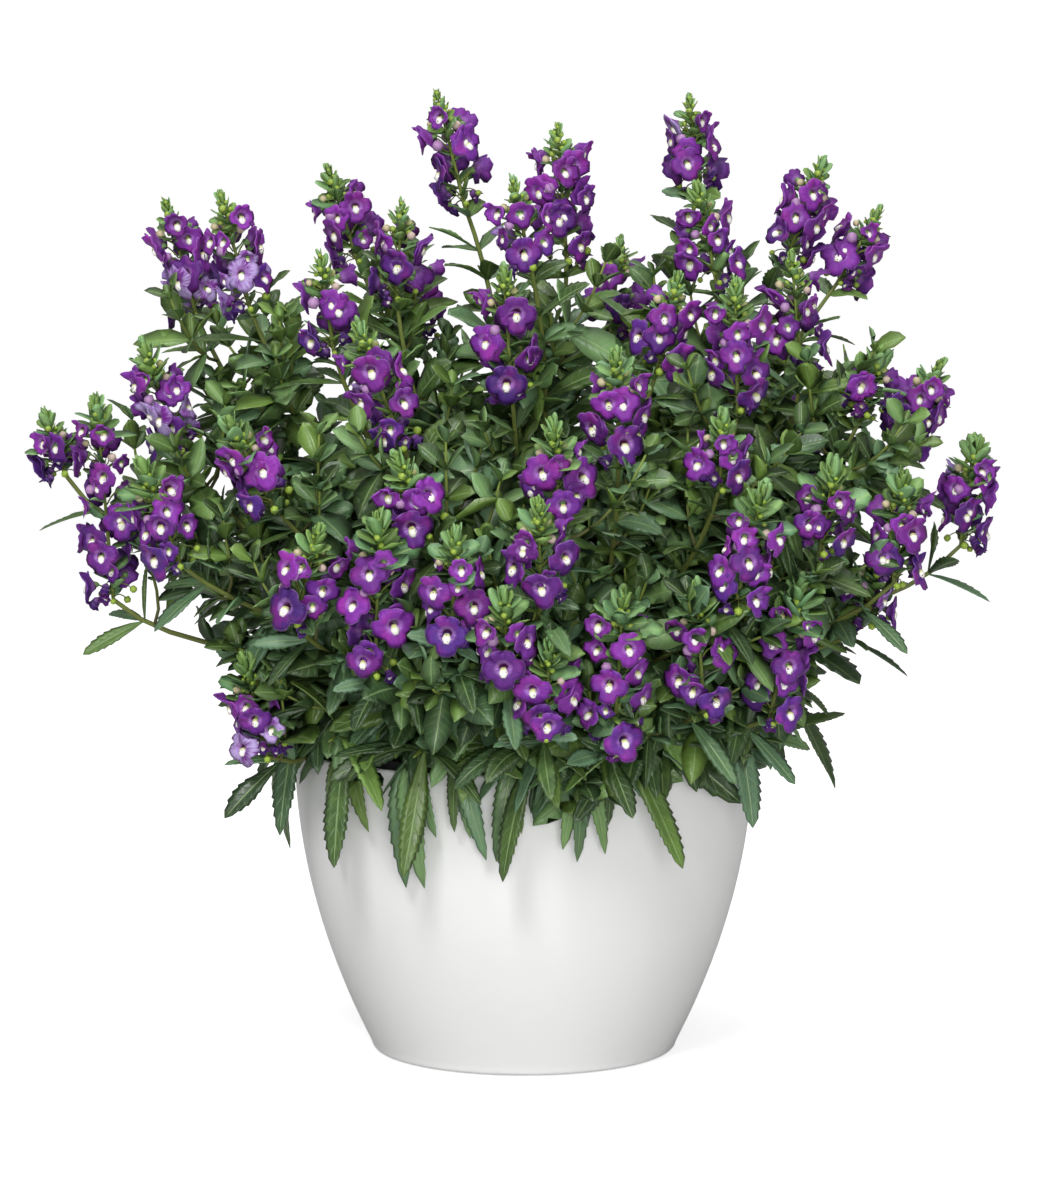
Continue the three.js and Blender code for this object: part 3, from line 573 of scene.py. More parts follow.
# black with patches of dry soil dust
def growPotMaterial():
    material, tree = newMaterial("blackPlastic", 0.55, 0.4)
    dust = fade(tree, grainOf(tree, 40.0, 4.0), 0.5, 0.8)
    colour = blend(tree, dust, paint(24, 25, 25), paint(58, 50, 42))
    return finished(material, colour, grainOf(tree, 500.0, 3.0), 0.2, 0.0004)


# dark brown, with crumbs as the cells of a Voronoi pattern and some pale ones among them
def soilMaterial():
    material, tree = newMaterial("dampSoil", 0.92, 0.2)
    place = addNode(tree, "TexCoord").outputs["Object"]
    crumbs = addNode(tree, "TexVoronoi", {"Vector": place, "Scale": 320.0}).outputs
    colour = blend(tree, grainOf(tree, 60.0, 5.0), paint(30, 21, 15), paint(74, 54, 38))
    colour = blend(tree, fade(tree, crumbs["Color"], 0.75, 0.95), colour, paint(112, 90, 66))
    return finished(material, colour, crumbs["Distance"], 0.6, 0.002)


# profile: underside, rounded foot, outer wall, rounded lip, inner wall, floor
def makeCoverPot():
    low, high, wall = pot["foot"], pot["height"], pot["wall"]
    lip = wall / 2
    profile = [(1.0, 0.0), (40.0, 0.0)]
    profile += rounded(potRadius(low) - low, low, low, -90, -8, 7)
    profile += [(potRadius(z), z) for z in np.linspace(low + 2, high - lip, 44)]
    profile += rounded(potRadius(high) - lip, high - lip, lip, 10, 170, 7)
    profile += [(potRadius(z) - wall, z) for z in np.linspace(high - lip, pot["floor"] + 3, 24)]
    profile += [(potRadius(6.0) - wall - 4, pot["floor"]), (1.0, pot["floor"])]
    loops = turned(profile, pot["segments"])
    makeTurned("white_cover_pot", loops, [potMaterial()], "cover_pot")


# profile: underside, cone, band with a rounded lip, the same inside, floor
def makeGrowPot():
    base, top, thick, lip = growPot["base"], growPot["top"], growPot["wall"], growPot["lip"]
    band, outer = top - growPot["band"], growPot["bandRadius"]
    floor = base + growPot["floor"]
    profile = [(1.0, base), (growRadius(base) - 2, base), (growRadius(base), base + 2)]
    profile += [(growRadius(z), z) for z in np.linspace(base + 8, band - 1, 16)]
    profile += [(growRadius(band), band), (outer - 0.5, band), (outer, band + 0.5)]
    profile += [(outer, z) for z in np.linspace(band + 2, top - lip, 4)]
    profile += rounded(outer - lip, top - lip, lip, 15, 165, 6)
    profile += [(outer - 2, top - 2), (growRadius(band) - thick, band)]
    profile += [(growRadius(z) - thick, z) for z in np.linspace(band - 8, base + 8, 10)]
    profile += [(growRadius(base) - thick - 1, floor), (1.0, floor)]
    loops = turned(profile, growPot["segments"])
    makeTurned("black_grow_pot", loops, [growPotMaterial()], "grow_pot")


# the soil: a turned plug whose domed top is raised and lowered by waves, with loose crumbs on it
def makeSoil():
    gap = growPot["wall"] + 0.4
    sideTop = growPot["top"] - growPot["band"]
    profile = [(1.0, soil["base"]), (growRadius(soil["base"]) - gap, soil["base"])]
    profile += [(growRadius(sideTop) - gap, sideTop), (94.0, sideTop + 0.8)]
    profile += [(r, float(soilTop(r))) for r in np.linspace(soil["edgeRadius"], 3, 30)]
    profile += [(1.0, soil["level"] + 1.0)]
    loops = turned(profile, soil["segments"])
    x, y, z = loops[..., 0], loops[..., 1], loops[..., 2]
    wave = np.sin(x * 0.21) * np.cos(y * 0.17) + 0.6 * np.sin(x * 0.53 + y * 0.41)
    isTop = (z > sideTop + 0.5) & (np.hypot(x, y) < soil["crumbReach"])
    loops[..., 2] = z + np.where(isTop, soil["wave"] * wave, 0.0)
    bag = newBag()
    addSweep(bag, loops, (0, 0), 0.5, 0.0, 0)
    count = np.arange(soil["crumbs"])
    reach = soil["crumbReach"] * np.sqrt(chance(count + 0.3))
    turn = 2 * np.pi * chance(count + 900)
    size = 0.7 + 1.5 * chance(count + 2000) ** 2
    centre = np.stack([reach * np.cos(turn), reach * np.sin(turn), soilTop(reach) + 0.5 * size], -1)
    levels = np.array([-0.9, -0.3, 0.4, 0.9])
    widths = np.array([0.35, 0.9, 0.85, 0.3])
    path = centre[:, None] + levels[None, :, None] * size[:, None, None] * up
    rough = 0.8 + 0.4 * chance(count[:, None] * 4 + np.arange(4))
    crumbs = tubeLoops(path, widths * size[:, None] * rough, tubeGuide["crumb"], 5)
    addSweep(bag, crumbs, (0, 0), chance(count), 0.0, 0)
    makePiece("soil_plug", bag, [soilMaterial()], "potting_soil")


makeCoverPot()
makeGrowPot()
makeSoil()
print("pots and soil made")

# Flower spikes: crown, tip x, y, z, length with the green tip, lean to the right, blooms
spikes = [
    ("left", -179, 30, 422, 62, -15, 8), ("left", -148, -20, 426, 60, -14, 8),
    ("centre", -99, 45, 438, 52, -18, 7), ("centre", -44, 30, 476, 60, -14, 8),
    ("centre", -60, 0, 422, 50, 3, 7), ("centre", 16, -20, 459, 68, -4, 11),
    ("centre", -6, -70, 433, 44, -12, 4), ("centre", 83, 60, 474, 48, -4, 7),
    ("centre", 83, -30, 430, 50, -12, 7), ("right", 150, 40, 442, 56, 20, 8),
    ("right", 181, 60, 418, 46, 30, 6), ("right", 206, -5, 343, 50, 26, 7),
    ("right", 173, -40, 351, 34, 15, 3), ("right", 226, 25, 302, 54, 8, 7),
    ("right", 180, -80, 293, 54, 4, 6), ("left", -240, 28, 316, 34, -18, 3),
    ("left", -207, -40, 327, 100, -4, 11), ("front_left", -181, -90, 298, 52, -20, 5),
    ("front_left", -139, -100, 320, 48, -26, 5), ("centre", -98, -60, 398, 50, -8, 5),
    ("front_left", -78, -115, 365, 62, -20, 7), ("front_left", -59, -150, 306, 40, -22, 4),
    ("centre", -10, -90, 391, 62, -4, 7), ("front_right", 73, -80, 388, 48, 12, 5),
    ("front_right", 99, -90, 385, 62, -2, 7), ("right", 129, -30, 397, 56, -6, 6),
    ("front_right", 42, -140, 354, 50, -2, 6), ("front_left", 13, -165, 322, 44, -4, 5),
    ("front_right", 92, -130, 325, 36, 2, 4), ("front_right", 109, -160, 292, 58, 12, 7),
    ("front_right", 145, -110, 299, 42, 8, 4), ("front_left", -94, -150, 273, 46, 14, 5),
    ("front_left", -66, -165, 279, 74, 2, 7), ("front_left", -31, -185, 275, 54, 2, 6),
    ("front_left", 6, -190, 289, 46, -2, 5), ("front_left", -9, -190, 247, 40, -2, 4),
    ("front_right", 12, -184, 224, 44, 4, 5), ("front_right", 45, -172, 246, 76, 3, 7),
    ("front_right", 79, -152, 246, 60, -4, 5), ("front_right", 129, -125, 245, 68, 12, 7),
    ("right", 171, -60, 256, 38, 8, 3), ("left", -186, -25, 352, 56, -20, 7),
    ("left", -133, -90, 206, 50, -12, 5), ("back", -150, 105, 325, 56, -14, 7),
    ("back", -85, 160, 285, 54, -8, 7), ("back", 0, 170, 335, 58, 2, 7),
    ("back", 85, 160, 275, 56, 8, 7), ("back", 155, 105, 330, 56, 16, 7),
    ("back", -60, 100, 398, 54, -8, 7), ("back", 50, 95, 402, 54, 6, 7),
    ("back", 0, 180, 235, 50, 0, 6),
]
# leafy side shoots over the rim: crown, azimuth in degrees, reach from the axis, end height
rimShoots = [
    ("left", 205, 126, 178), ("front_left", 226, 126, 168), ("front_left", 248, 130, 165),
    ("front_right", 272, 128, 165), ("front_right", 293, 128, 167), ("front_right", 322, 130, 181),
    ("right", 5, 130, 186), ("back", 55, 128, 174), ("back", 105, 128, 170),
    ("left", 155, 130, 178),
]
crowns = {
    "centre": (0, 0), "left": (-52, -6), "front_left": (-30, -46), "front_right": (32, -46),
    "right": (54, -4), "back": (0, 52),
}
# how the part lays its stems, and the one stem that bows aside to run clear
stemRule = {
    "start": 150.0, "firstHandle": 0.36, "lastHandle": 0.34, "handleSpread": 0.06,
    "uprightFrom": 300.0, "lowTurn": 1.1, "highTurn": 0.15, "perNode": 100.0, "jitter": 0.16,
    "aside": {42: -10.0},
}
# how the part lays its leaves: how they vary, the third one of a node being shorter, and for each
# kind of stem their lengths from the lowest to the highest node, opening and droop
leafVaries = {"spin": 50.0, "tilt": 14.0, "length": (0.92, 0.16), "third": 0.8}
leafRule = {
    "spike": {"seed": 20000, "lengths": (58.0, 33.0), "open": 58.0, "droop": 0.14},
    "rim": {"seed": 9000, "lengths": (54.0, 54.0), "open": 60.0, "droop": 0.20},
}


# a spike stands along its axis, which leans to the right by its own angle, and ends at its tip
def spikeFrame(row):
    crown, x, y, z, length, lean, blooms = row
    tip = np.array([x, y, z], float)
    axis = unit(np.array([math.tan(math.radians(lean)), 0.0012 * y, 1.0]))
    return {"crown": crown, "tip": tip, "foot": tip - axis * length, "axis": axis,
            "length": length, "blooms": blooms, "outward": unit(np.array([x, y, 0.0]))}


# level, a quarter turn to the left of outward
def sidewaysOf(outward):
    return np.array([-outward[1], outward[0], 0.0])


# control points of a stem: up out of the soil, then outwards, then in line with what it carries
def stemControl(crown, foot, axis, outward, aside=0.0):
    rule = stemRule
    start = np.array([*crowns[crown], rule["start"]], float)
    reach = np.linalg.norm(foot - start)
    low = min(max((rule["uprightFrom"] - foot[2]) / 100.0, 0.0), 1.0)
    arrival = unit(axis + outward * (low * rule["lowTurn"] + rule["highTurn"]))
    bow = aside * sidewaysOf(outward)
    rise = up * rule["firstHandle"] + outward * rule["handleSpread"]
    second = start + rise * reach + 0.5 * bow
    third = foot - arrival * rule["lastHandle"] * reach + bow
    return np.array([start, second, third, foot]), reach


# where leaves grow along a stem: even steps, each shifted a little
def nodePlaces(count, first, last, seed):
    spread = (last - first) / (count - 1)
    return [first + k * spread + stemRule["jitter"] * spread * (float(chance(seed + k)) - 0.5)
            for k in range(count)]


# a spike with the stem below it, which carries a node of leaves for every 100 mm or so
def laySpike(number, row):
    spike = spikeFrame(row)
    aside = stemRule["aside"].get(number, 0.0)
    spike["control"], spike["reach"] = stemControl(
        spike["crown"], spike["foot"], spike["axis"], spike["outward"], aside)
    rise = spike["foot"] - np.array([*crowns[spike["crown"]], soil["level"]])
    nodeCount = min(max(round(np.linalg.norm(rise) / stemRule["perNode"]), 2), 3)
    spike["nodes"] = nodePlaces(nodeCount, 0.5, 0.9, 100 * number)
    return spike


# a side shoot whose stem ends in a direction from the pot's axis, pointing outwards and down
def layShoot(crown, azimuth, reach, height, dip, nodes):
    turn = math.radians(azimuth)
    outward = np.array([math.cos(turn), math.sin(turn), 0.0])
    end = outward * reach + up * height
    axis = unit(outward - dip * up)
    control, length = stemControl(crown, end, axis, outward)
    return {"crown": crown, "outward": outward, "axis": axis, "foot": end, "control": control,
            "reach": length, "nodes": nodes}


spikeFrames = [laySpike(number, row) for number, row in enumerate(spikes)]
rimFrames = [layShoot(*row, 0.25, nodePlaces(2, 0.78, 0.94, 7000 + 100 * number))
             for number, row in enumerate(rimShoots)]


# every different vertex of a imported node, in millimetres
def packedPoints(node):
    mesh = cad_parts[node].data
    points = np.empty(len(mesh.vertices) * 3, np.float32)
    mesh.vertices.foreach_get("co", points)
    return np.unique(np.round(points.reshape(-1, 3) * 1000.0, 3), axis=0)


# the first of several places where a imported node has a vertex, or None
def firstMatch(points, places, slack=0.2):
    gaps = np.linalg.norm(points[None] - places[:, None], axis=-1).min(axis=1)
    hits = np.nonzero(gaps < slack)[0]
    return hits[0] if len(hits) else None


# turn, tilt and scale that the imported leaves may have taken, in the order they were tried
leafVariants = np.array([
    (0, 0, 1), (18, 0, 1), (-18, 0, 1), (0, -16, 1), (0, 16, 1), (34, -8, 0.9), (-34, -8, 0.9),
    (0, -24, 0.8), (20, 20, 0.75), (-20, 20, 0.75)], float)
# turn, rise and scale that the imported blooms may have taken
bloomVariants = np.array([
    (0, 0, 1), (14, 0, 1), (-14, 0, 1), (0, 3, 0.95), (0, -3, 0.95), (28, 2, 0.9), (-28, -2, 0.9),
    (0, 0, 0.85), (45, 0, 0.85), (-45, 0, 0.85), (70, 3, 0.8), (-70, -3, 0.8)], float)


# a set of leaves in arrays, with their upper sides towards a direction
def laidLeaves(at, aim, towards, length, sag):
    return {"at": np.broadcast_to(at, aim.shape), "aim": aim, "upper": squareTo(towards, aim),
            "length": np.broadcast_to(length, aim.shape[:-1]), "sag": sag}


# leaves at a node: they open from the stem by their tilt, turned round it by their spin, with the
# upper side towards the stem's tip and the sky, and sag downwards by their droop
def leafSet(at, along, guide, spin, tilt, length, droop):
    east = squareTo(guide, along)
    north = np.cross(along, east)
    turn, lean = np.radians(spin)[..., None], np.radians(tilt)[..., None]
    away = east * np.cos(turn) + north * np.sin(turn)
    aim = along * np.cos(lean) + away * np.sin(lean)
    back = along * 0.5 * np.sin(lean) - away * 0.5 * np.cos(lean)
    sag = np.broadcast_to(droop, aim.shape[:-1])[..., None] * up
    return laidLeaves(at, aim, back + 0.8 * up, length, sag)


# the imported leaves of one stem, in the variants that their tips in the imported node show
def packedLeaves(stem, points, rule, seed):
    found = []
    guide = sidewaysOf(stem["outward"])
    last = len(stem["nodes"]) - 1
    for index, node in enumerate(stem["nodes"]):
        at, along = curveAt(stem["control"], node)
        for k, offset in enumerate((0, 180, 90) if index == last else (0, 180)):
            own = seed + 10 * index + 3 * k
            spin = 90 * index + offset + leafVaries["spin"] * (chance(own) - 0.5)
            length = mix(*rule["lengths"], index / last) * (leafVaries["third"] if k == 2 else 1.0)
            shortest, more = leafVaries["length"]
            length = length * (shortest + more * chance(own + 1))
            tilt = rule["open"] + leafVaries["tilt"] * (chance(own + 2) - 0.5)
            choice = leafSet(at, along, guide, spin + leafVariants[:, 0],
                             tilt + leafVariants[:, 1], length * leafVariants[:, 2], rule["droop"])
            took = firstMatch(points, choice["at"] + choice["length"][:, None]
                              * (choice["aim"] - choice["sag"]))
            if took is not None:
                found.append({key: value[took] for key, value in choice.items()})
    return {key: np.stack([leaf[key] for leaf in found]) for key in found[0]} if found else None


plantPoints = {crown: packedPoints("stems_" + crown) for crown in crowns}
for kind, stems in (("spike", spikeFrames), ("rim", rimFrames)):
    for number, stem in enumerate(stems):
        rule = leafRule[kind]
        stem["leaves"] = packedLeaves(stem, plantPoints[stem["crown"]], rule,
                                      rule["seed"] + 60 * number)
print("packed leaves found:", sum(len(stem["leaves"]["length"]) for stem in spikeFrames + rimFrames
                                  if stem["leaves"]))

# Leaf blades
blade = {
    "fold": 0.22, "bulge": 0.15, "thickness": 0.55, "widthShare": 0.125, "fullness": 0.62,
    "largeTeeth": 10, "middleTeeth": 5, "smallTeeth": 3, "toothDepth": 0.16, "twist": 1.0,
    "roll": 1.3, "bend": 0.22, "ripple": 0.4, "freshAndLitFromAbove": 0.25, "facing": 0.45,
}
towardsLight = np.array([0.0, -1.0, 0.0])
# how far the plant reaches from the rim's height upwards, and its room inside the part's own box
outline = {"height": 138.0, "reach": 130.0, "widening": 0.58, "depth": 0.80, "inset": 4.0}
# what leaves keep free of the pots and the soil
clearance = {"wall": 1.5, "growRim": 2.0, "soil": 2.5, "innerReach": 98.0}


# stations along a saw-edged leaf and their widths: width = sin(pi s^power)^fullness, cut in behind
# each tooth of the outer part; a larger power puts the widest part nearer to the tip
def serration(teeth, depth, power, first):
    start = mix(first, 0.95, np.arange(teeth) / teeth)
    pitch = (0.95 - first) / teeth
    toothed = np.stack([start, start + 0.8 * pitch], axis=-1).ravel()
    cuts = np.stack([1 - depth * np.linspace(0.6, 1.3, teeth), np.ones(teeth)], axis=-1).ravel()
    places = np.concatenate([[0.0, 0.06, 0.5 * first], toothed, [1.0]])
    cuts = np.concatenate([[1.0, 1.0, 1.0], cuts, [1.0]])
    widths = np.sin(np.pi * np.minimum(places, 0.999) ** power) ** blade["fullness"] * cuts
    return places, np.maximum(widths, np.where(places < 0.5, 0.10, 0.02))


largeLeaf = serration(blade["largeTeeth"], blade["toothDepth"], 1.50, 0.34)
middleLeaf = serration(blade["middleTeeth"], blade["toothDepth"], 1.40, 0.40)
smallLeaf = serration(blade["smallTeeth"], blade["toothDepth"], 1.15, 0.42)
plainLeaf = np.array([(0.0, 0.14, 0.36, 0.60, 0.82, 1.0), (0.16, 0.52, 0.90, 1.0, 0.70, 0.05)])
bractLeaf = np.array([(0.0, 0.16, 0.45, 0.80, 1.0), (0.35, 0.80, 1.0, 0.86, 0.34)])


# leaves in one array: centre line at + aim L s + side b L s^2 - sag L s^2, turned about it by
# twist (1 + 3 s) / 4, edges raised by the fold, halves bulging between rib and edge; corners run
# right edge, rib below, left edge, over the top
def leafLoops(leaves, shape, corners):
    s, widths = shape[0][None, :, None], shape[1][None, :, None]
    at, aim, upper, sag = (leaves[key][:, None] for key in ("at", "aim", "upper", "sag"))
    length, bend, wave, half, twist = (leaves[key][:, None, None]
                                       for key in ("length", "bend", "wave", "half", "twist"))
    side = np.cross(aim, upper)
    curl = side * bend - sag
    centre = at + aim * length * s + curl * length * s * s
    along = unit(aim + 2 * curl * s)
    flat = unit(np.cross(side, along))
    twist = twist * (0.25 + 0.75 * s)
    normal = np.cos(twist) * flat + np.sin(twist) * np.cross(along, flat)
    across = np.cross(along, normal)
    half = widths * half
    rise = blade["fold"] * half
    ripple = wave * half * np.sin(7.0 * s + 3.0)
    right = centre + across * half + normal * (rise + ripple)
    left = centre - across * half + normal * (rise - ripple)
    below = centre - normal * blade["thickness"] * (1 - 0.6 * s)
    over = centre + normal * 0.1
    if corners == 4:
        return np.stack([right, below, left, over], axis=2)
    middle = 0.5 * rise + blade["bulge"] * half
    upRight = centre + across * 0.5 * half + normal * (middle + 0.4 * ripple)
    upLeft = centre - across * 0.5 * half + normal * (middle - 0.4 * ripple)
    return np.stack([right, below, left, upLeft, over, upRight], axis=2)


# uv of a leaf: u runs from foot to tip, v from its left edge to its right edge
def leafUV(shape, corners):
    across = np.array([1.0, 0.5, 0.0, 0.25, 0.5, 0.75] if corners == 6 else [1.0, 0.5, 0.0, 0.5])
    u, v = np.meshgrid(shape[0], across, indexing="ij")
    return np.stack([u, v], axis=-1)


# gives a set of leaves their own width, bend, ripple, twist and roll about their own direction;
# all turn a little towards the light in front of the plant
def finishLeaves(leaves, seed, width, roll):
    number = seed + np.arange(len(leaves["length"])) * 7.0
    turn = roll * blade["roll"] * (chance(number + 4) - 0.5)
    upper = squareTo(leaves["upper"] + blade["facing"] * towardsLight, leaves["aim"])
    leaves["upper"] = roundAbout(upper, np.cross(leaves["aim"], upper), turn)
    leaves["half"] = blade["widthShare"] * leaves["length"] * width * (0.9 + 0.25 * chance(number))
    for k, (key, most) in enumerate((("bend", "bend"), ("wave", "ripple"), ("twist", "twist"))):
        leaves[key] = blade[most] * (chance(number + k + 1) - 0.5)
    return leaves


def joinLeaves(sets):
    return {key: np.concatenate([one[key] for one in sets]) for key in sets[0]}


# leaves that would run into the pots or the soil, or out of the plant's own outline, are left out
def wellPlaced(loops):
    z, reach = loops[..., 2], np.hypot(loops[..., 0], loops[..., 1])
    outer = potRadius(np.clip(z, 0, pot["height"])) + clearance["wall"]
    inside = reach <= clearance["innerReach"]
    inPot = (z < growPot["top"] + clearance["growRim"]) & ~inside & (reach < outer)
    inSoil = (z < soil["level"] + clearance["soil"]) & inside
    return ~np.any(inPot | inSoil | outOfPlant(loops), axis=(1, 2))


# the plant's outline: sqrt(x^2 + (d y)^2) stays below a width that grows upwards from the rim
def outOfPlant(points, margin=0.0):
    x, y, z = (points[..., k] for k in range(3))
    wide = np.hypot(x, outline["depth"] * y) + margin
    limit = outline["reach"] + outline["widening"] * np.clip(z - outline["height"], 0, None)
    farX, farY = (1000 * cadBox[1][k] - outline["inset"] for k in range(2))
    return (wide > limit) | (abs(x) > farX) | (abs(y) > farY)


leafSlots = [leafBlade, stemBark, bractBlade, budSkin]
bladeSlot, stemSlot, bractSlot, budSlot = range(4)
# kinds of leaves: outline, width, roll, range of ages, corners of a cross-section
leafKinds = {
    "packed": (middleLeaf, 1.25, 0.4, (0.1, 0.5), 6),
    "pair": (smallLeaf, 1.75, 1.0, (0.05, 0.6), 6),
    "axil": (plainLeaf, 1.8, 1.0, (0.05, 0.7), 4),
    "shoot": (plainLeaf, 2.0, 1.0, (0.1, 0.9), 4),
    "packedRim": (largeLeaf, 1.0, 0.4, (0.1, 0.9), 6),
    "rimFan": (largeLeaf, 1.0, 1.0, (0.2, 1.0), 6),
    "rimPair": (middleLeaf, 1.3, 1.0, (0.1, 0.7), 6),
    "skirt": (middleLeaf, 1.0, 1.0, (0.0, 0.9), 6),
    "group": (largeLeaf, 0.76, 0.4, (0.3, 1.0), 6),
}


# tone and age of leaves: two random values, the age within a range and raised higher up
def addLeaves(bag, leaves, shape, seed, ages, slot, corners=4, sift=False):
    loops = leafLoops(leaves, shape, corners)
    number = seed + np.arange(len(loops))
    # higher leaves get more age and so a fresher, lighter green: partly younger leaves, partly
    # painted light from above
    freshAndLitFromAbove = blade["freshAndLitFromAbove"] * np.clip((leaves["at"][:, 2] - 200) / 150, 0, 1)
    tone, age = chance(number), mix(*ages, chance(number + 400) ** 2) + freshAndLitFromAbove
    keep = wellPlaced(loops) if sift else np.ones(len(loops), bool)
    addSweep(bag, loops[keep], leafUV(shape, corners), tone[keep], age[keep], slot)


# leaves of one kind, with their own random shapes and then their own tones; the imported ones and
# those laid to a given tip stay in any case
def growLeaves(bag, kind, leaves, shapeSeed, toneSeed):
    shape, width, roll, ages, corners = leafKinds[kind]
    leaves = finishLeaves(leaves, shapeSeed, width, roll)
    if kind == "group":
        leaves["bend"] = rimLeaf["bend"] * leaves["bend"]
    sift = kind not in ("packed", "packedRim", "group")
    addLeaves(bag, leaves, shape, toneSeed, ages, bladeSlot, corners, sift)


# Foliage of each plant
foliage = {
    "spacing": 15.5, "shortest": 19.0, "perReach": 0.22, "longest": 48.0,
    "open": 60.0, "droop": 0.22, "lowestNode": 0.16, "nodeGap": 7.0, "spin": 50.0, "tilt": 24.0,
    "shootsPerStem": 5, "outerShoots": 3, "outerFrom": 115.0, "greenTip": 14.0, "stem": (1.9, 1.1),
}
# side shoots of a stem: where they start and may end, and how their leaves grow and vary
leafyShoot = {
    "from": 0.42, "range": 0.5, "length": 50.0, "aim": (0.5, 0.75, 0.35), "nodes": 4,
    "leaf": (34.0, 16.0), "top": 420.0, "topFall": 0.25, "margin": 12.0, "stem": (0.9, 0.6),
    "open": 58.0, "rosetteOpen": 38.0, "rosetteFrom": 0.7, "spin": 40.0, "tilt": 20.0,
    "shorter": 0.6, "droop": (0.12, 0.1),
}
# where the random draws of each kind of stem start, and how far apart those of a plant's stems are
firstDraw = {"spike": 31000, "rim": 52000, "head": 70000, "skirt": 90000, "group": 95000}
drawStep = 300
# short leafy shoots all round, that end just inside the rim and hang their leaves over it
skirt = {"count": 40, "reach": 98.0, "height": 168.0, "leaves": 5, "stem": (1.3, 0.9)}
# fans of leaves that hang over the rim: half their spread and how far each may swing, in degrees,
# ranges of the rest, and how many a rim shoot has
hanging = {
    "half": 60.0, "swing": 30.0, "rise": (0.35, 0.0), "droop": (0.35, 0.75), "tuck": (0.10, 0.35),
    "length": (38.0, 60.0), "onRimShoot": 8,
}
# groups of large leaves that hang over the front of the rim: direction of their shoot in degrees,
# then x and height of each leaf's tip
rimGroups = [
    (212, [(-124, 129), (-115, 105)]), (224, [(-91, 105), (-75, 123), (-80, 138)]),
    (243, [(-55, 97), (-48, 98), (-41, 123), (-58, 144)]),
    (254, [(-34, 126), (-24, 123), (-17, 113)]), (268, [(-12, 112), (-2, 126)]),
    (283, [(24, 112), (38, 115), (16, 118)]), (290, [(41, 129), (62, 134), (64, 149)]),
    (314, [(84, 143)]), (339, [(120, 146), (141, 151), (143, 166), (158, 170)]),
]
rimLeaf = {
    "reach": 103.0, "height": 160.0, "clear": 9.0, "slack": 1.08, "rise": 0.15, "bend": 0.4,
    "stem": (1.6, 1.0),
}
# the green tips: wide ones on the low spikes, narrower ones over a range of heights above them
tuft = {
    "whorls": 6, "eachWhorl": 4, "below": 7.0, "buds": 14, "wide": 1.35, "narrow": 0.85,
    "wideUpTo": 280.0, "range": 130.0, "bract": (2.4, 0.6), "length": (12.5, 4.0),
    "out": (1.0, 0.22), "rise": (0.10, 1.0), "bud": (1.6, 0.9), "budReach": (4.6, 0.9),
}


# pairs of leaves at every node of a stem, each pair square to the one below; the longer leaves
# grow further from the flowers; leaves in the axils are shorter and steeper
def stemLeaves(stem, seed, share, lean, offsets):
    rule = foliage
    index = np.arange(int((1 - rule["lowestNode"]) * stem["reach"] / rule["spacing"]))
    place = 0.985 - (index + 0.3 * chance(seed + index)) * rule["spacing"] / stem["reach"]
    gap = np.abs(place[:, None] - np.array(stem["nodes"])).min(axis=1) * stem["reach"]
    index, place = (values[gap > rule["nodeGap"]] for values in (index, place))
    at, along = curveAt(stem["control"][None], place)
    longest = np.minimum(rule["shortest"] + rule["perReach"] * (1 - place) * stem["reach"],
                         rule["longest"])
    sets = []
    for k, offset in enumerate(offsets):
        draw = seed + 10 * index + 2.5 * k + 90 * share
        spin = 90 * index + offset + rule["spin"] * (chance(draw) - 0.5)
        tilt = rule["open"] + lean + rule["tilt"] * (chance(draw + 2) - 0.5)
        droop = rule["droop"] * (0.4 + 1.4 * chance(draw + 3))
        length = longest * share * (0.8 + 0.4 * chance(draw + 1))
        sets.append(leafSet(at, along, sidewaysOf(stem["outward"]), spin, tilt, length, droop))
    return joinLeaves(sets)


# a leafy side shoot: starts on its stem, leans aside and up; None if it would stick out
def sideShoot(stem, seed):
    start = leafyShoot["from"] + leafyShoot["range"] * float(chance(seed))
    at, along = curveAt(stem["control"], start)
    east = squareTo(sidewaysOf(stem["outward"]), along)
    away = roundAbout(east, np.cross(along, east), 2 * np.pi * chance(seed + 1))
    length = leafyShoot["length"] * (0.6 + 0.6 * float(chance(seed + 2)))
    ahead, aside, rise = leafyShoot["aim"]
    aim = unit(along * ahead + away * aside + up * rise)
    end = at + aim * length
    ceiling = leafyShoot["top"] - leafyShoot["topFall"] * np.hypot(end[0], end[1])
    if outOfPlant(end, leafyShoot["margin"]) or end[2] > ceiling:
        return None
    control = np.array([at, at + away * 0.3 * length, end - unit(aim + up) * 0.35 * length, end])
    return {"control": control, "reach": length, "outward": stem["outward"]}


# its leaves: longest low down, and a close rosette at its tip
def shootLeaves(shoot, seed):
    index = np.arange(leafyShoot["nodes"])
    place = np.linspace(0.30, 1.0, len(index))
    at, along = curveAt(shoot["control"][None], place)
    rule, sets = leafyShoot, []
    opening = np.where(place > rule["rosetteFrom"], rule["rosetteOpen"], rule["open"])
    least, more = rule["droop"]
    for k, offset in enumerate((0, 180, 90, 270)):
        draw = seed + 10 * index + 2.5 * k
        length = mix(*rule["leaf"], place) * (0.8 + 0.4 * chance(draw + 1))
        length = length * (1.0 if k < 2 else rule["shorter"])
        spin = 90 * index + offset + rule["spin"] * (chance(draw) - 0.5)
        tilt = opening + rule["tilt"] * (chance(draw + 2) - 0.5)
        droop = least + more * chance(draw + 3)
        sets.append(leafSet(at, along, sidewaysOf(shoot["outward"]), spin, tilt, length, droop))
    return joinLeaves(sets)


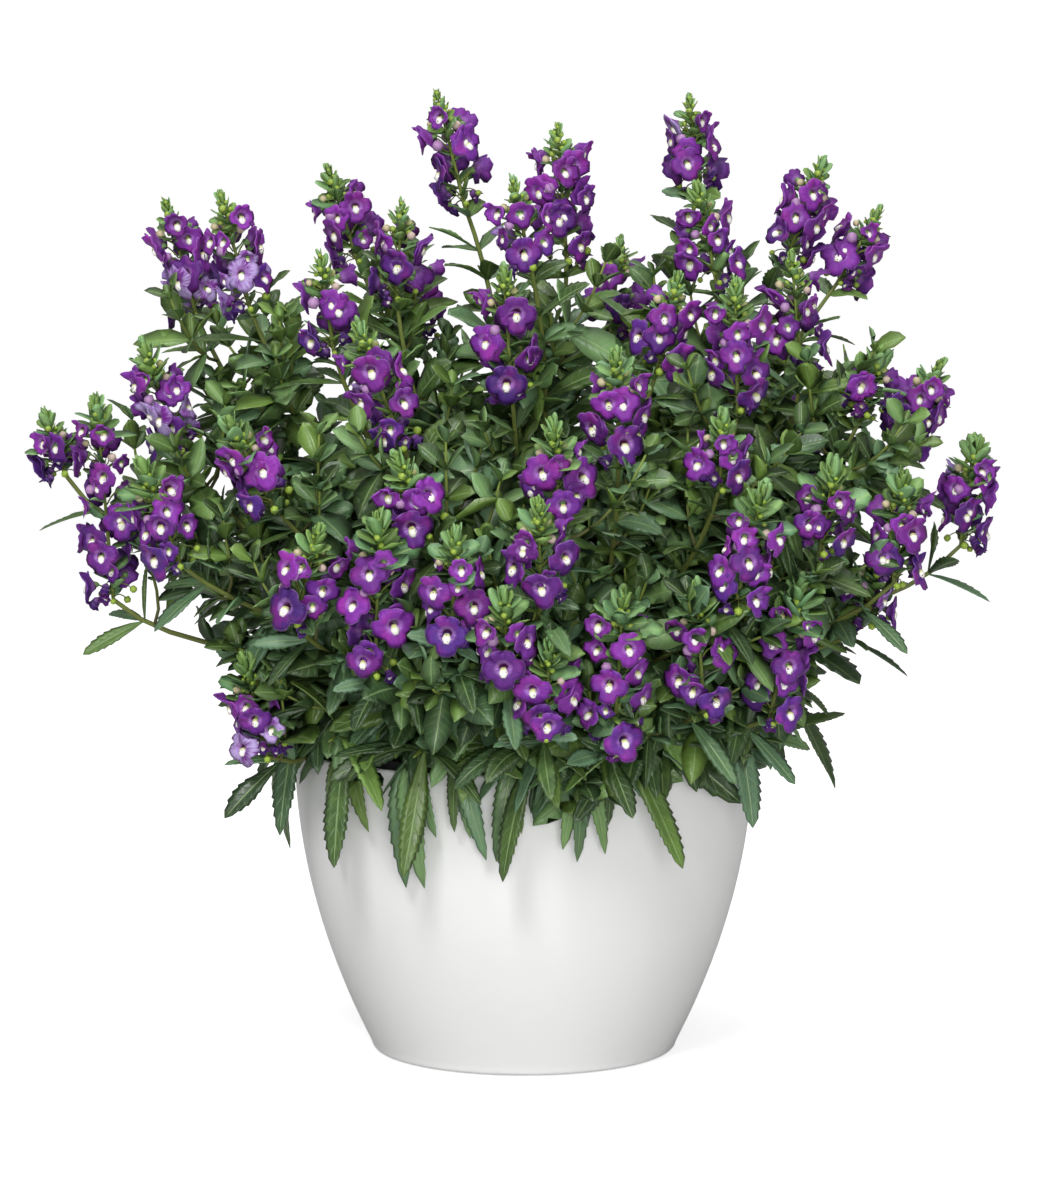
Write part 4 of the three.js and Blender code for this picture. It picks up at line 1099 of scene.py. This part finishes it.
# a fan of leaves that hang over the rim: aim = outward cos(f) + sideways sin(f) + up e, and they
# sag downwards and back towards the pot
def hangingFan(shoot, seed, count):
    outward, index = shoot["outward"], np.arange(count)
    fan = mix(-hanging["half"], hanging["half"], (index + 0.5) / count)
    fan = np.radians(fan + hanging["swing"] * (chance(seed + index) - 0.5))
    rise, length, droop, tuck = (mix(*hanging[key], chance(seed + index + 10 * k + 10))[:, None]
                                 for k, key in enumerate(("rise", "length", "droop", "tuck")))
    aim = unit(roundAbout(outward, sidewaysOf(outward), fan) + rise * up)
    return laidLeaves(shoot["foot"] + aim * 1.5, aim, up, length[:, 0], droop * up + tuck * outward)


# large leaves from the end of a shoot to given tips just off the pot; a leaf of length L comes to
# its tip with the sag aim - (tip - foot) / L
def hangingGroup(shoot, tips):
    x, z = np.array(tips, float).T
    reach = potRadius(np.minimum(z, pot["height"])) + rimLeaf["clear"]
    y = -np.sqrt(np.maximum(reach ** 2 - x ** 2, 400.0))
    drop = np.stack([x, y, z], axis=-1) - shoot["foot"]
    length = rimLeaf["slack"] * np.linalg.norm(drop, axis=-1)
    aim = unit(unit(np.stack([x, y, 0 * x], axis=-1)) + rimLeaf["rise"] * up)
    return laidLeaves(shoot["foot"], aim, up, length, aim - drop / length[:, None])


# balls: centre + radius ring, at four levels
def addBalls(bag, centre, axis, radius, ripe, slot):
    levels = np.array([-0.92, -0.35, 0.35, 0.92])
    widths = np.array([0.35, 0.94, 0.94, 0.35])
    path = centre[:, None] + levels[None, :, None] * (radius[:, None] * axis)[:, None]
    loops = tubeLoops(path, widths * radius[:, None], tubeGuide["stalk"], 6)
    addSweep(bag, loops, tubeUV(4, 6), 0.5, ripe, slot)


# stalks: tubes along curves that start and end at given points and lean towards a middle one
def addStalks(bag, start, middle, end, radius, age, slot):
    control = np.stack([start, mix(start, middle, 0.67), mix(end, middle, 0.67), end], axis=1)
    path = np.stack([curvePoints(control, np.full(len(start), u)) for u in np.linspace(0, 1, 5)], 1)
    loops = tubeLoops(path, radius, tubeGuide["stalk"], 3)
    addSweep(bag, loops, tubeUV(5, 3), 0.5, age, slot)


# a stem: a tube along its curve, going on through any further points
def addStem(bag, stem, first, last, onward=None):
    stations = max(6, int(stem["reach"] / 14))
    path = curvePoints(stem["control"][None], np.linspace(0, 1, stations)[None])
    radius = np.linspace(first, last, stations)[None]
    if onward is not None:
        path = np.concatenate([path, onward[None]], axis=1)
        radius = np.concatenate([radius, np.linspace(last, 0.45, len(onward))[None]], axis=1)
    age = np.linspace(0.05, 0.9, path.shape[1])[None, :, None]
    loops = tubeLoops(path, radius, tubeGuide["stem"], 6)
    addSweep(bag, loops, tubeUV(path.shape[1], 6), 0.5, age, stemSlot)


# points on the axis of a spike or a shoot: foot + height axis
def upAxis(stem, height):
    return stem["foot"] + stem["axis"] * height[:, None]


# where a spike's flowers end and its green tip begins
def flowerTop(spike):
    return spike["length"] - foliage["greenTip"]


# directions round a spike, by turns from 0 to 1 and an angle more; or each turned from the one
# before it by the golden angle
def roundSpike(spike, turns, more=0.0):
    east = squareTo(np.array([1.0, 0.3, 0.0]), spike["axis"])
    return roundAbout(east, np.cross(spike["axis"], east), 2 * np.pi * turns + more)


def goldenRound(spike, index, first):
    return roundSpike(spike, goldenRatio * index + first)


# the green top of a spike: whorls of round bracts, wide open low down and closing upwards, with
# little buds between them
def addGreenTip(bag, spike, seed):
    axis, each = spike["axis"], tuft["eachWhorl"]
    low = flowerTop(spike) - tuft["below"]
    index = np.arange(tuft["whorls"] * each)
    whorl = index // each
    share = whorl / (tuft["whorls"] - 1)
    sway = 0.7 * (chance(seed + index + 3) - 0.5)
    away = roundSpike(spike, index / each + whorl * 0.5 / each, sway)
    height = mix(low, spike["length"] - 3.5, share ** 0.85) + 1.5 * (chance(seed + index + 6) - 0.5)
    at = upAxis(spike, height) + away * 0.8
    out, rise = (mix(*tuft[key], share)[:, None] for key in ("out", "rise"))
    aim = unit(away * out + axis * rise)
    high = np.clip((spike["tip"][2] - tuft["wideUpTo"]) / tuft["range"], 0, 1)
    leafy = mix(tuft["wide"], tuft["narrow"], high) * (0.85 + 0.3 * float(chance(seed + 1)))
    length = leafy * mix(*tuft["length"], share ** 0.8) * (0.75 + 0.5 * chance(seed + index))
    sag = (0.45 * (chance(seed + index + 9) - 0.75))[:, None] * (axis - 0.4 * away)
    leaves = laidLeaves(at, aim, axis - away * 0.2, length, sag)
    leaves = finishLeaves(leaves, seed, *tuft["bract"])
    addLeaves(bag, leaves, bractLeaf, seed, (0.75 * share, 0.95), bractSlot)
    index = np.arange(tuft["buds"])
    share = index / index[-1]
    away = goldenRound(spike, index, 0.3)
    level = upAxis(spike, mix(low + 3, spike["length"] - 1.5, share))
    radius, reach = (mix(*tuft[key], share) for key in ("bud", "budReach"))
    radius = radius * (0.8 + 0.4 * chance(seed + index + 2))
    addBalls(bag, level + away * reach[:, None], unit(away + axis), radius,
             mix(0.35, 0.0, share), budSlot)


# the outer crown that lies nearest to a direction
def crownTowards(azimuth):
    outer = {name: math.atan2(y, x) for name, (x, y) in crowns.items() if name != "centre"}
    return max(outer, key=lambda name: math.cos(outer[name] - math.radians(azimuth)))


# a spike's stem: packed leaves, pairs at each node with shorter leaves in their axils, leafy side
# shoots, and the green tip
def addSpikeStem(bag, spike, seed):
    addStem(bag, spike, *foliage["stem"], upAxis(spike, np.linspace(4, spike["length"] - 1, 9)))
    if spike["leaves"]:
        growLeaves(bag, "packed", spike["leaves"], seed, seed)
    pairs = stemLeaves(spike, seed + 50, 1.0, 0, (0, 180))
    growLeaves(bag, "pair", pairs, seed + 60, seed + 80)
    axils = stemLeaves(spike, seed + 50, 0.66, -14, (38, 218))
    growLeaves(bag, "axil", axils, seed + 70, seed + 90)
    more = foliage["outerShoots"] if abs(spike["tip"][0]) > foliage["outerFrom"] else 0
    for k in range(foliage["shootsPerStem"] + more):
        shoot = sideShoot(spike, seed + 200 + 11 * k)
        if shoot:
            addStem(bag, shoot, *leafyShoot["stem"])
            few = shootLeaves(shoot, seed + 220 + 13 * k)
            growLeaves(bag, "shoot", few, seed + 240, seed + 250 + 40 * k)
    addGreenTip(bag, spike, seed + 270)


# a side shoot over the rim: packed leaves, a fan that hangs down, and pairs along its stem
def addRimShoot(bag, shoot, seed):
    addStem(bag, shoot, *foliage["stem"], upAxis(shoot, np.linspace(2, 8, 3)))
    if shoot["leaves"]:
        growLeaves(bag, "packedRim", shoot["leaves"], seed, seed)
    fan = hangingFan(shoot, seed + 50, hanging["onRimShoot"])
    growLeaves(bag, "rimFan", fan, seed + 60, seed + 70)
    pairs = stemLeaves(shoot, seed + 90, 1.0, 0, (0, 180))
    growLeaves(bag, "rimPair", pairs, seed + 100, seed + 110)


# the short shoots of the skirt on one crown's side, evenly round the pot but for a random part
def addSkirt(bag, crown):
    for k in range(skirt["count"]):
        azimuth = 360.0 * (k + 0.5 * float(chance(600 + k))) / skirt["count"]
        if crownTowards(azimuth) == crown:
            seed = firstDraw["skirt"] + 50 * k
            reach = skirt["reach"] + 5 * (float(chance(700 + k)) - 0.5)
            height = skirt["height"] + 14 * float(chance(800 + k))
            shoot = layShoot(crown, azimuth, reach, height, 0.1, [0.9])
            addStem(bag, shoot, *skirt["stem"])
            fan = hangingFan(shoot, seed, skirt["leaves"])
            growLeaves(bag, "skirt", fan, seed + 10, seed + 20)


def addRimGroups(bag, crown):
    for number, (azimuth, tips) in enumerate(rimGroups):
        if crownTowards(azimuth) == crown:
            seed = firstDraw["group"] + 100 * number
            shoot = layShoot(crown, azimuth, rimLeaf["reach"], rimLeaf["height"], 0.1, [0.9])
            addStem(bag, shoot, *rimLeaf["stem"])
            growLeaves(bag, "group", hangingGroup(shoot, tips), seed, seed + 20)


def makeFoliage(crown):
    bag = newBag()
    for stems, addOne, first in ((spikeFrames, addSpikeStem, firstDraw["spike"]),
                                 (rimFrames, addRimShoot, firstDraw["rim"])):
        for number, stem in enumerate(stems):
            if stem["crown"] == crown:
                addOne(bag, stem, first + drawStep * number)
    addSkirt(bag, crown)
    addRimGroups(bag, crown)
    makePiece("foliage_" + crown, bag, leafSlots, "stems_" + crown)
    print("foliage", crown, trianglesOf(bag), "triangles")
    return trianglesOf(bag)


# Flower heads
bloom = {
    "size": 19.0, "reach": 12.5, "lowest": 8.0, "outerSide": 125.0, "allRoundFrom": 380.0,
    "turnOut": 0.30, "spread": 1.02, "tilt": 0.60, "roll": 36.0, "flutter": 0.28,
    "fillers": 0.9, "outerFillers": 0.6, "outerFrom": 100.0, "outerRange": 80.0,
    "fillerReach": 10.5, "fillerSize": 16.0, "halfOpenFrom": 0.93, "halfOpen": 0.4,
    "fadedHeads": (0, 1, 41, 42), "sizes": (0.86, 1.06), "oldest": 0.8, "ageFall": 0.95,
    "ageSpread": 0.7, "freshShare": 0.985, "freshOnFaded": 0.4, "cup": 0.33,
}
# what grows between and below the flowers; ranges run from the foot of the spike to its top
spray = {
    "bractGap": 4.2, "bract": (2.1, 1.0), "bractLength": (11.0, 8.0),
    "buds": 6, "budPlace": (0.60, 1.02), "budRadius": (2.8, 1.6), "budReach": (9.5, 5.0),
    "pods": 4, "podRadius": 1.5, "podReach": 8.0, "withered": 3, "witheredSize": 11.5,
}
headSlots = [petalFront, petalBack, throatKnob, bractBlade, stemBark, budSkin]
frontSlot, backSlot, knobSlot, headBract, headStalk, headBud = range(6)
# petal lobes: start and end in degrees, reach, notch at the start, lean along the facing
lobes = np.array([
    (38, 90, 0.48, 0.38, 0.08), (90, 142, 0.48, 0.42, 0.08), (142, 228, 0.54, 0.38, -0.08),
    (228, 312, 0.57, 0.40, -0.04), (312, 398, 0.54, 0.40, -0.08)])
# stations of a bloom from back to front: share of the outline's reach, how round, depth, lobe share
bloomStations = np.array([
    (0.12, 1.0, -0.28, 0.0), (0.36, 1.0, -0.18, 0.0), (0.68, 0.4, -0.06, 0.6),
    (1.0, 0.0, -0.01, 1.0), (0.76, 0.2, 0.015, 0.7), (0.44, 0.8, 0.03, 0.2),
    (0.27, 1.0, -0.04, 0.0), (0.15, 1.0, -0.15, 0.0)])
bloomFaces = [backSlot] * 3 + [frontSlot] * 4
# levels of the knob in the throat: depth and radius
knobLevels = np.array([(-0.14, 0.055), (-0.05, 0.095), (0.03, 0.108), (0.085, 0.058)])


# outline of a bloom: reach = notch + (lobe - notch) sin(pi q)^0.5, where q runs over each lobe
def bloomOutline(perLobe):
    start, end, reach, notch, lean = (lobes[:, k, None] for k in range(5))
    q = np.arange(perLobe) / perLobe
    rise = np.sin(np.pi * q) ** 0.5 + 0 * start
    between = mix(notch, np.roll(notch, -1, axis=0), q)
    return {"turn": np.radians(mix(start, end, q)).ravel(), "rise": rise.ravel(),
            "reach": mix(between, reach, rise).ravel(), "lean": (lean * rise).ravel(),
            "lobe": np.repeat(np.arange(len(lobes)), perLobe)}


fineRim, plainRim = bloomOutline(5), bloomOutline(3)


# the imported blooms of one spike: throat, facing, direction from the axis, size, height and share
def packedBlooms(number, spike):
    points = packedPoints("flowers_%02d" % (number + 1))
    axis, outward = spike["axis"], spike["outward"]
    east = squareTo(outward, axis)
    north = np.cross(axis, east)
    highest = flowerTop(spike) - 1
    allRound = spike["tip"][2] > bloom["allRoundFrom"] or spike["crown"] == "back"
    spread = 180.0 if allRound else bloom["outerSide"]
    found = []
    for i in range(spike["blooms"]):
        share = i / (spike["blooms"] - 1)
        height = mix(bloom["lowest"], highest, share)
        golden = (i * goldenRatio + 0.5) % 1
        spin = spread * (2 * golden - 1) + 12 * (float(chance(500 * number + i)) - 0.5)
        size = bloom["size"] * (0.95 + 0.1 * float(chance(500 * number + i + 40)))
        size *= mix(1, 0.9, share)
        away = roundAbout(east, north, np.radians(spin + bloomVariants[:, 0]))
        centre = upAxis(spike, height + bloomVariants[:, 1]) + away * bloom["reach"]
        facing = unit(away + 0.25 * outward - 0.12 * axis)
        sizes = size * bloomVariants[:, 2]
        took = firstMatch(points, centre - facing * 0.16 * sizes[:, None])
        if took is not None:
            found.append((centre[took], facing[took], away[took], sizes[took], height, share))
    return [np.array(values) for values in zip(*found)]


# turns the blooms' own directions a little, each in its own way
def loosened(facing, axis, seed):
    index = seed + np.arange(len(facing))
    upward = squareTo(axis, facing)
    across = np.cross(upward, facing)
    nod, swing = (bloom["tilt"] * (chance(index + k)[:, None] - 0.5) for k in (50, 70))
    facing = unit(facing + nod * upward + swing * across)
    upward = squareTo(upward, facing)
    across = np.cross(upward, facing)
    roll = np.radians(bloom["roll"] * (chance(index) - 0.5))[:, None]
    return (facing, upward * np.cos(roll) + across * np.sin(roll),
            across * np.cos(roll) - upward * np.sin(roll))


# blooms in one array: centre + size (x across + y upward + z facing), from back to front; each
# lobe leans by its own amount, and a closing bloom draws its lobes in and forwards
def addBlooms(bag, rim, centre, facing, size, openness, axis, tone, age, seed):
    index = seed + np.arange(len(centre))
    facing, upward, across = loosened(facing, axis, seed)

    def place(x, y, z):
        sides = x[..., None] * across[:, None, None] + y[..., None] * upward[:, None, None]
        own = sides + z[..., None] * facing[:, None, None]
        return centre[:, None, None] + size[:, None, None, None] * own

    rings, rounds, depths, leans = (bloomStations[:, k, None] for k in range(4))
    own = chance(index[:, None] * 1.7 + 11.3 * rim["lobe"]) - 0.5
    ruffle = 0.03 * np.sin(8 * rim["turn"] + 6.3 * chance(index)[:, None])
    lean = rim["lean"] + (bloom["flutter"] * own + 0.03) * rim["rise"] + ruffle - 0.03
    closed = (1 - openness)[:, None, None] * (rings > 0.6)
    reach = rings * mix(rim["reach"], 0.46, rounds) * (1 - 0.5 * closed)
    direction = np.stack([np.cos(rim["turn"]), np.sin(rim["turn"])], axis=-1)
    x, y = reach * direction[:, 0], reach * direction[:, 1]
    z = depths + leans * lean[:, None] + 0.28 * closed * rings
    uv = 0.5 + 0.5 * rings[..., None] * direction
    addSweep(bag, place(x, y, z), uv, tone, age, bloomFaces)
    # the knob in the lower half of the throat
    turn = 2 * np.pi * np.arange(6) / 6
    levels, widths = knobLevels[:, :1], knobLevels[:, 1:]
    x, y = widths * np.cos(turn), 1.25 * widths * np.sin(turn) - 0.10 - 0.3 * levels
    uv = np.stack([0.5 + 3.0 * (y + 0.10), 0.5 + 3.0 * x], axis=-1)
    addSweep(bag, place(x[None], y[None], levels[None] + 0 * x), uv, tone, age, knobSlot)


# smaller flowers between the imported ones, nearer to the axis
def fillerBlooms(spike, count, seed):
    outer = float(np.clip((abs(spike["tip"][0]) - bloom["outerFrom"]) / bloom["outerRange"], 0, 1))
    index = np.arange(max(2, round((bloom["fillers"] + bloom["outerFillers"] * outer) * count)))
    share = (index + 0.5) / len(index)
    height = mix(bloom["lowest"], flowerTop(spike) - 1, share)
    turn = 2 * np.pi * (goldenRatio * index + float(chance(seed)))
    east = squareTo(spike["outward"], spike["axis"])
    away = roundAbout(east, np.cross(spike["axis"], east), turn)
    centre = upAxis(spike, height) + away * bloom["fillerReach"]
    facing = unit(away + 0.35 * spike["outward"] - 0.15 * spike["axis"])
    size = bloom["fillerSize"] * mix(0.75, 1.10, chance(seed + index + 5))
    return centre, facing, away, size, height, share


# open flowers, each on its stalk with a green cup; a few have faded, and on a faded head so have
# more than half of the lower ones
def addOpenFlowers(bag, rim, spike, blooms, seed, faded):
    centre, facing, away, size, height, share = blooms
    facing = unit(facing + bloom["turnOut"] * spike["outward"])
    index = seed + np.arange(len(centre))
    size = size * bloom["spread"] * mix(*bloom["sizes"], chance(index + 60))
    axis = np.broadcast_to(spike["axis"], centre.shape)
    openness = np.where(share > bloom["halfOpenFrom"], bloom["halfOpen"],
                        1.0 - 0.5 * chance(index) ** 3)
    age = bloom["oldest"] - bloom["ageFall"] * share
    age = age + bloom["ageSpread"] * (chance(index + 9) - 0.5)
    fresh = np.where(faded & (share < 0.5), bloom["freshOnFaded"], bloom["freshShare"])
    age = np.where(chance(index + 17) > fresh, -0.5, np.clip(age, 0, 1))
    addBlooms(bag, rim, centre, facing, size, openness, axis, chance(index + 20), age, seed)
    level = upAxis(spike, height - 5)
    cup = centre - facing * (bloom["cup"] * size)[:, None]
    addStalks(bag, level + away, mix(level, cup, 0.5) + axis * 1.2, cup, 0.5, 0.75, headStalk)
    path = cup[:, None] + facing[:, None] * np.array([-0.6, 0.2, 1.8, 3.2])[None, :, None]
    loops = tubeLoops(path, np.array([0.5, 1.3, 1.9, 1.5]), tubeGuide["stalk"], 5)
    addSweep(bag, loops, tubeUV(4, 5), 0.6, 0.5, headBract)


# small bracts up the whole spike, between the flowers
def addSpikeBracts(bag, spike, seed):
    axis = spike["axis"]
    row = np.arange(int(spike["length"] / spray["bractGap"]))
    share = row / row[-1]
    out = goldenRound(spike, row, 0.17)
    foot = upAxis(spike, mix(2.0, flowerTop(spike) + 1, share))
    aim = unit(out + 0.45 * axis)
    length = mix(*spray["bractLength"], share) * (0.75 + 0.5 * chance(seed + row + 3))
    sag = (0.5 * (chance(seed + row + 8) - 0.6))[:, None] * axis
    leaves = laidLeaves(foot + out * 0.7, aim, axis - out * 0.2, length, sag)
    leaves = finishLeaves(leaves, seed, *spray["bract"])
    addLeaves(bag, leaves, bractLeaf, seed + 30, (0.0, 0.6), headBract)


# larger buds in the upper part, green pods under the lowest flowers
def addBudsAndPods(bag, spike, seed):
    axis = spike["axis"]
    index = np.arange(spray["buds"])
    share = index / index[-1]
    out = goldenRound(spike, index, 0.6)
    foot = upAxis(spike, mix(*spray["budPlace"], share) * flowerTop(spike))
    radius = mix(*spray["budRadius"], share) * (0.85 + 0.3 * chance(seed + index + 5))
    end = foot + out * mix(*spray["budReach"], share)[:, None] + axis * 4.0
    tilt = unit(out + 0.4 * axis)
    addStalks(bag, foot, foot + out * 5, end - tilt * radius[:, None], 0.4, 0.8, headStalk)
    addBalls(bag, end, tilt, radius, mix(1.0, 0.3, share), headBud)
    index = np.arange(spray["pods"])
    out = goldenRound(spike, index, 0.1)
    foot = upAxis(spike, 1.0 + 2.0 * index)
    end = foot + out * (spray["podReach"] + 3.0 * chance(seed + index))[:, None] - axis * 2.5
    addStalks(bag, foot, foot + out * 5 + axis * 3, end, 0.35, 0.6, headStalk)
    radius = spray["podRadius"] + 0.7 * chance(seed + index + 7)
    addBalls(bag, end, out, radius, np.full(len(end), 0.05), headBud)


# small dark flowers past their best, that hang under the lowest ones
def addWithered(bag, spike, seed):
    axis = spike["axis"]
    index = np.arange(spray["withered"])
    out = unit(roundSpike(spike, chance(seed + index + 15)) + 0.6 * spike["outward"])
    foot = upAxis(spike, 3.0 + 3.5 * index)
    centre = foot + out * 9.0 - axis * 4.0
    facing = unit(out - 1.1 * up)
    ones = np.ones(len(index))
    size = spray["witheredSize"] * ones
    addStalks(bag, foot, foot + out * 6, centre - facing * 2.5, 0.4, 0.4, headStalk)
    addBlooms(bag, plainRim, centre, facing, size, mix(0.0, 0.4, chance(seed + index)),
              np.broadcast_to(axis, out.shape), 0 * ones, 1.25 * ones, seed + 25)


def makeHead(number, spike):
    blooms = packedBlooms(number, spike)
    seed = firstDraw["head"] + 90 * number
    bag = newBag()
    faded = number in bloom["fadedHeads"]
    addOpenFlowers(bag, fineRim, spike, blooms, seed, faded)
    more = fillerBlooms(spike, len(blooms[0]), seed + 33)
    addOpenFlowers(bag, plainRim, spike, more, seed + 45, faded)
    addSpikeBracts(bag, spike, seed)
    addBudsAndPods(bag, spike, seed)
    addWithered(bag, spike, seed)
    name = "%02d" % (number + 1)
    makePiece("bloom_head_" + name, bag, headSlots, "flowers_" + name)
    return len(blooms[0]), trianglesOf(bag)


foliageTriangles = sum(makeFoliage(crown) for crown in crowns)
bloomCounts, headTriangles = zip(*(makeHead(*numbered) for numbered in enumerate(spikeFrames)))
print("blooms:", sum(bloomCounts))
print("triangles of the plants:", foliageTriangles + sum(headTriangles))

# Floor, in metres
floor = {"flat": 3.2, "edge": 5.0, "wallTop": 2.4, "grey": 0.62, "glow": 0.72, "segments": 96}


def paintGrey(value):
    return (value, value, value, 1.0)


# pale grey with a faint grain; it glows for the camera alone, so that it comes out white
def paperMaterial():
    material, tree = newMaterial("palePaper", 0.9, 0.1)
    inputs = tree.nodes["Principled BSDF"].inputs
    grain = linear(tree, grainOf(tree, 3.0, 2.0), 0.02, floor["grey"] - 0.01)
    colour = addNode(tree, "CombineColor", {0: grain, 1: grain, 2: grain}).outputs[0]
    seen = addNode(tree, "LightPath").outputs["Is Camera Ray"]
    glow = blend(tree, seen, paintGrey(0.0), paintGrey(floor["glow"]))
    tree.links.new(colour, inputs["Base Color"])
    tree.links.new(glow, inputs["Emission Color"])
    inputs["Emission Strength"].default_value = 1.0
    return material


# a wide pale bowl: a flat floor that curves up into a low wall all round
def makeFloor():
    bend = floor["edge"] - floor["flat"]
    turn = np.linspace(0, np.pi / 2, 14)
    curve = np.stack([floor["flat"] + bend * np.sin(turn), bend * (1 - np.cos(turn))], axis=-1)
    profile = np.concatenate([[(0.001, 0.0)], curve, [(floor["edge"], floor["wallTop"])]])
    loops = turned(profile - np.array([0.0, 0.0005]), floor["segments"])[0]
    index = np.arange(loops.shape[0] * loops.shape[1]).reshape(loops.shape[:2])
    ahead = np.roll(index, -1, axis=1)
    quads = np.stack([index[:-1], ahead[:-1], ahead[1:], index[1:]], axis=-1).reshape(-1, 4)
    mesh = bpy.data.meshes.new("paleFloor")
    mesh.from_pydata(loops.reshape(-1, 3).tolist(), [], quads.tolist() + [index[0].tolist()])
    mesh.polygons.foreach_set("use_smooth", np.ones(len(mesh.polygons), bool))
    mesh.materials.append(paperMaterial())
    piece = bpy.data.objects.new("paleFloor", mesh)
    bpy.context.scene.collection.objects.link(piece)


makeFloor()
print("floor made")
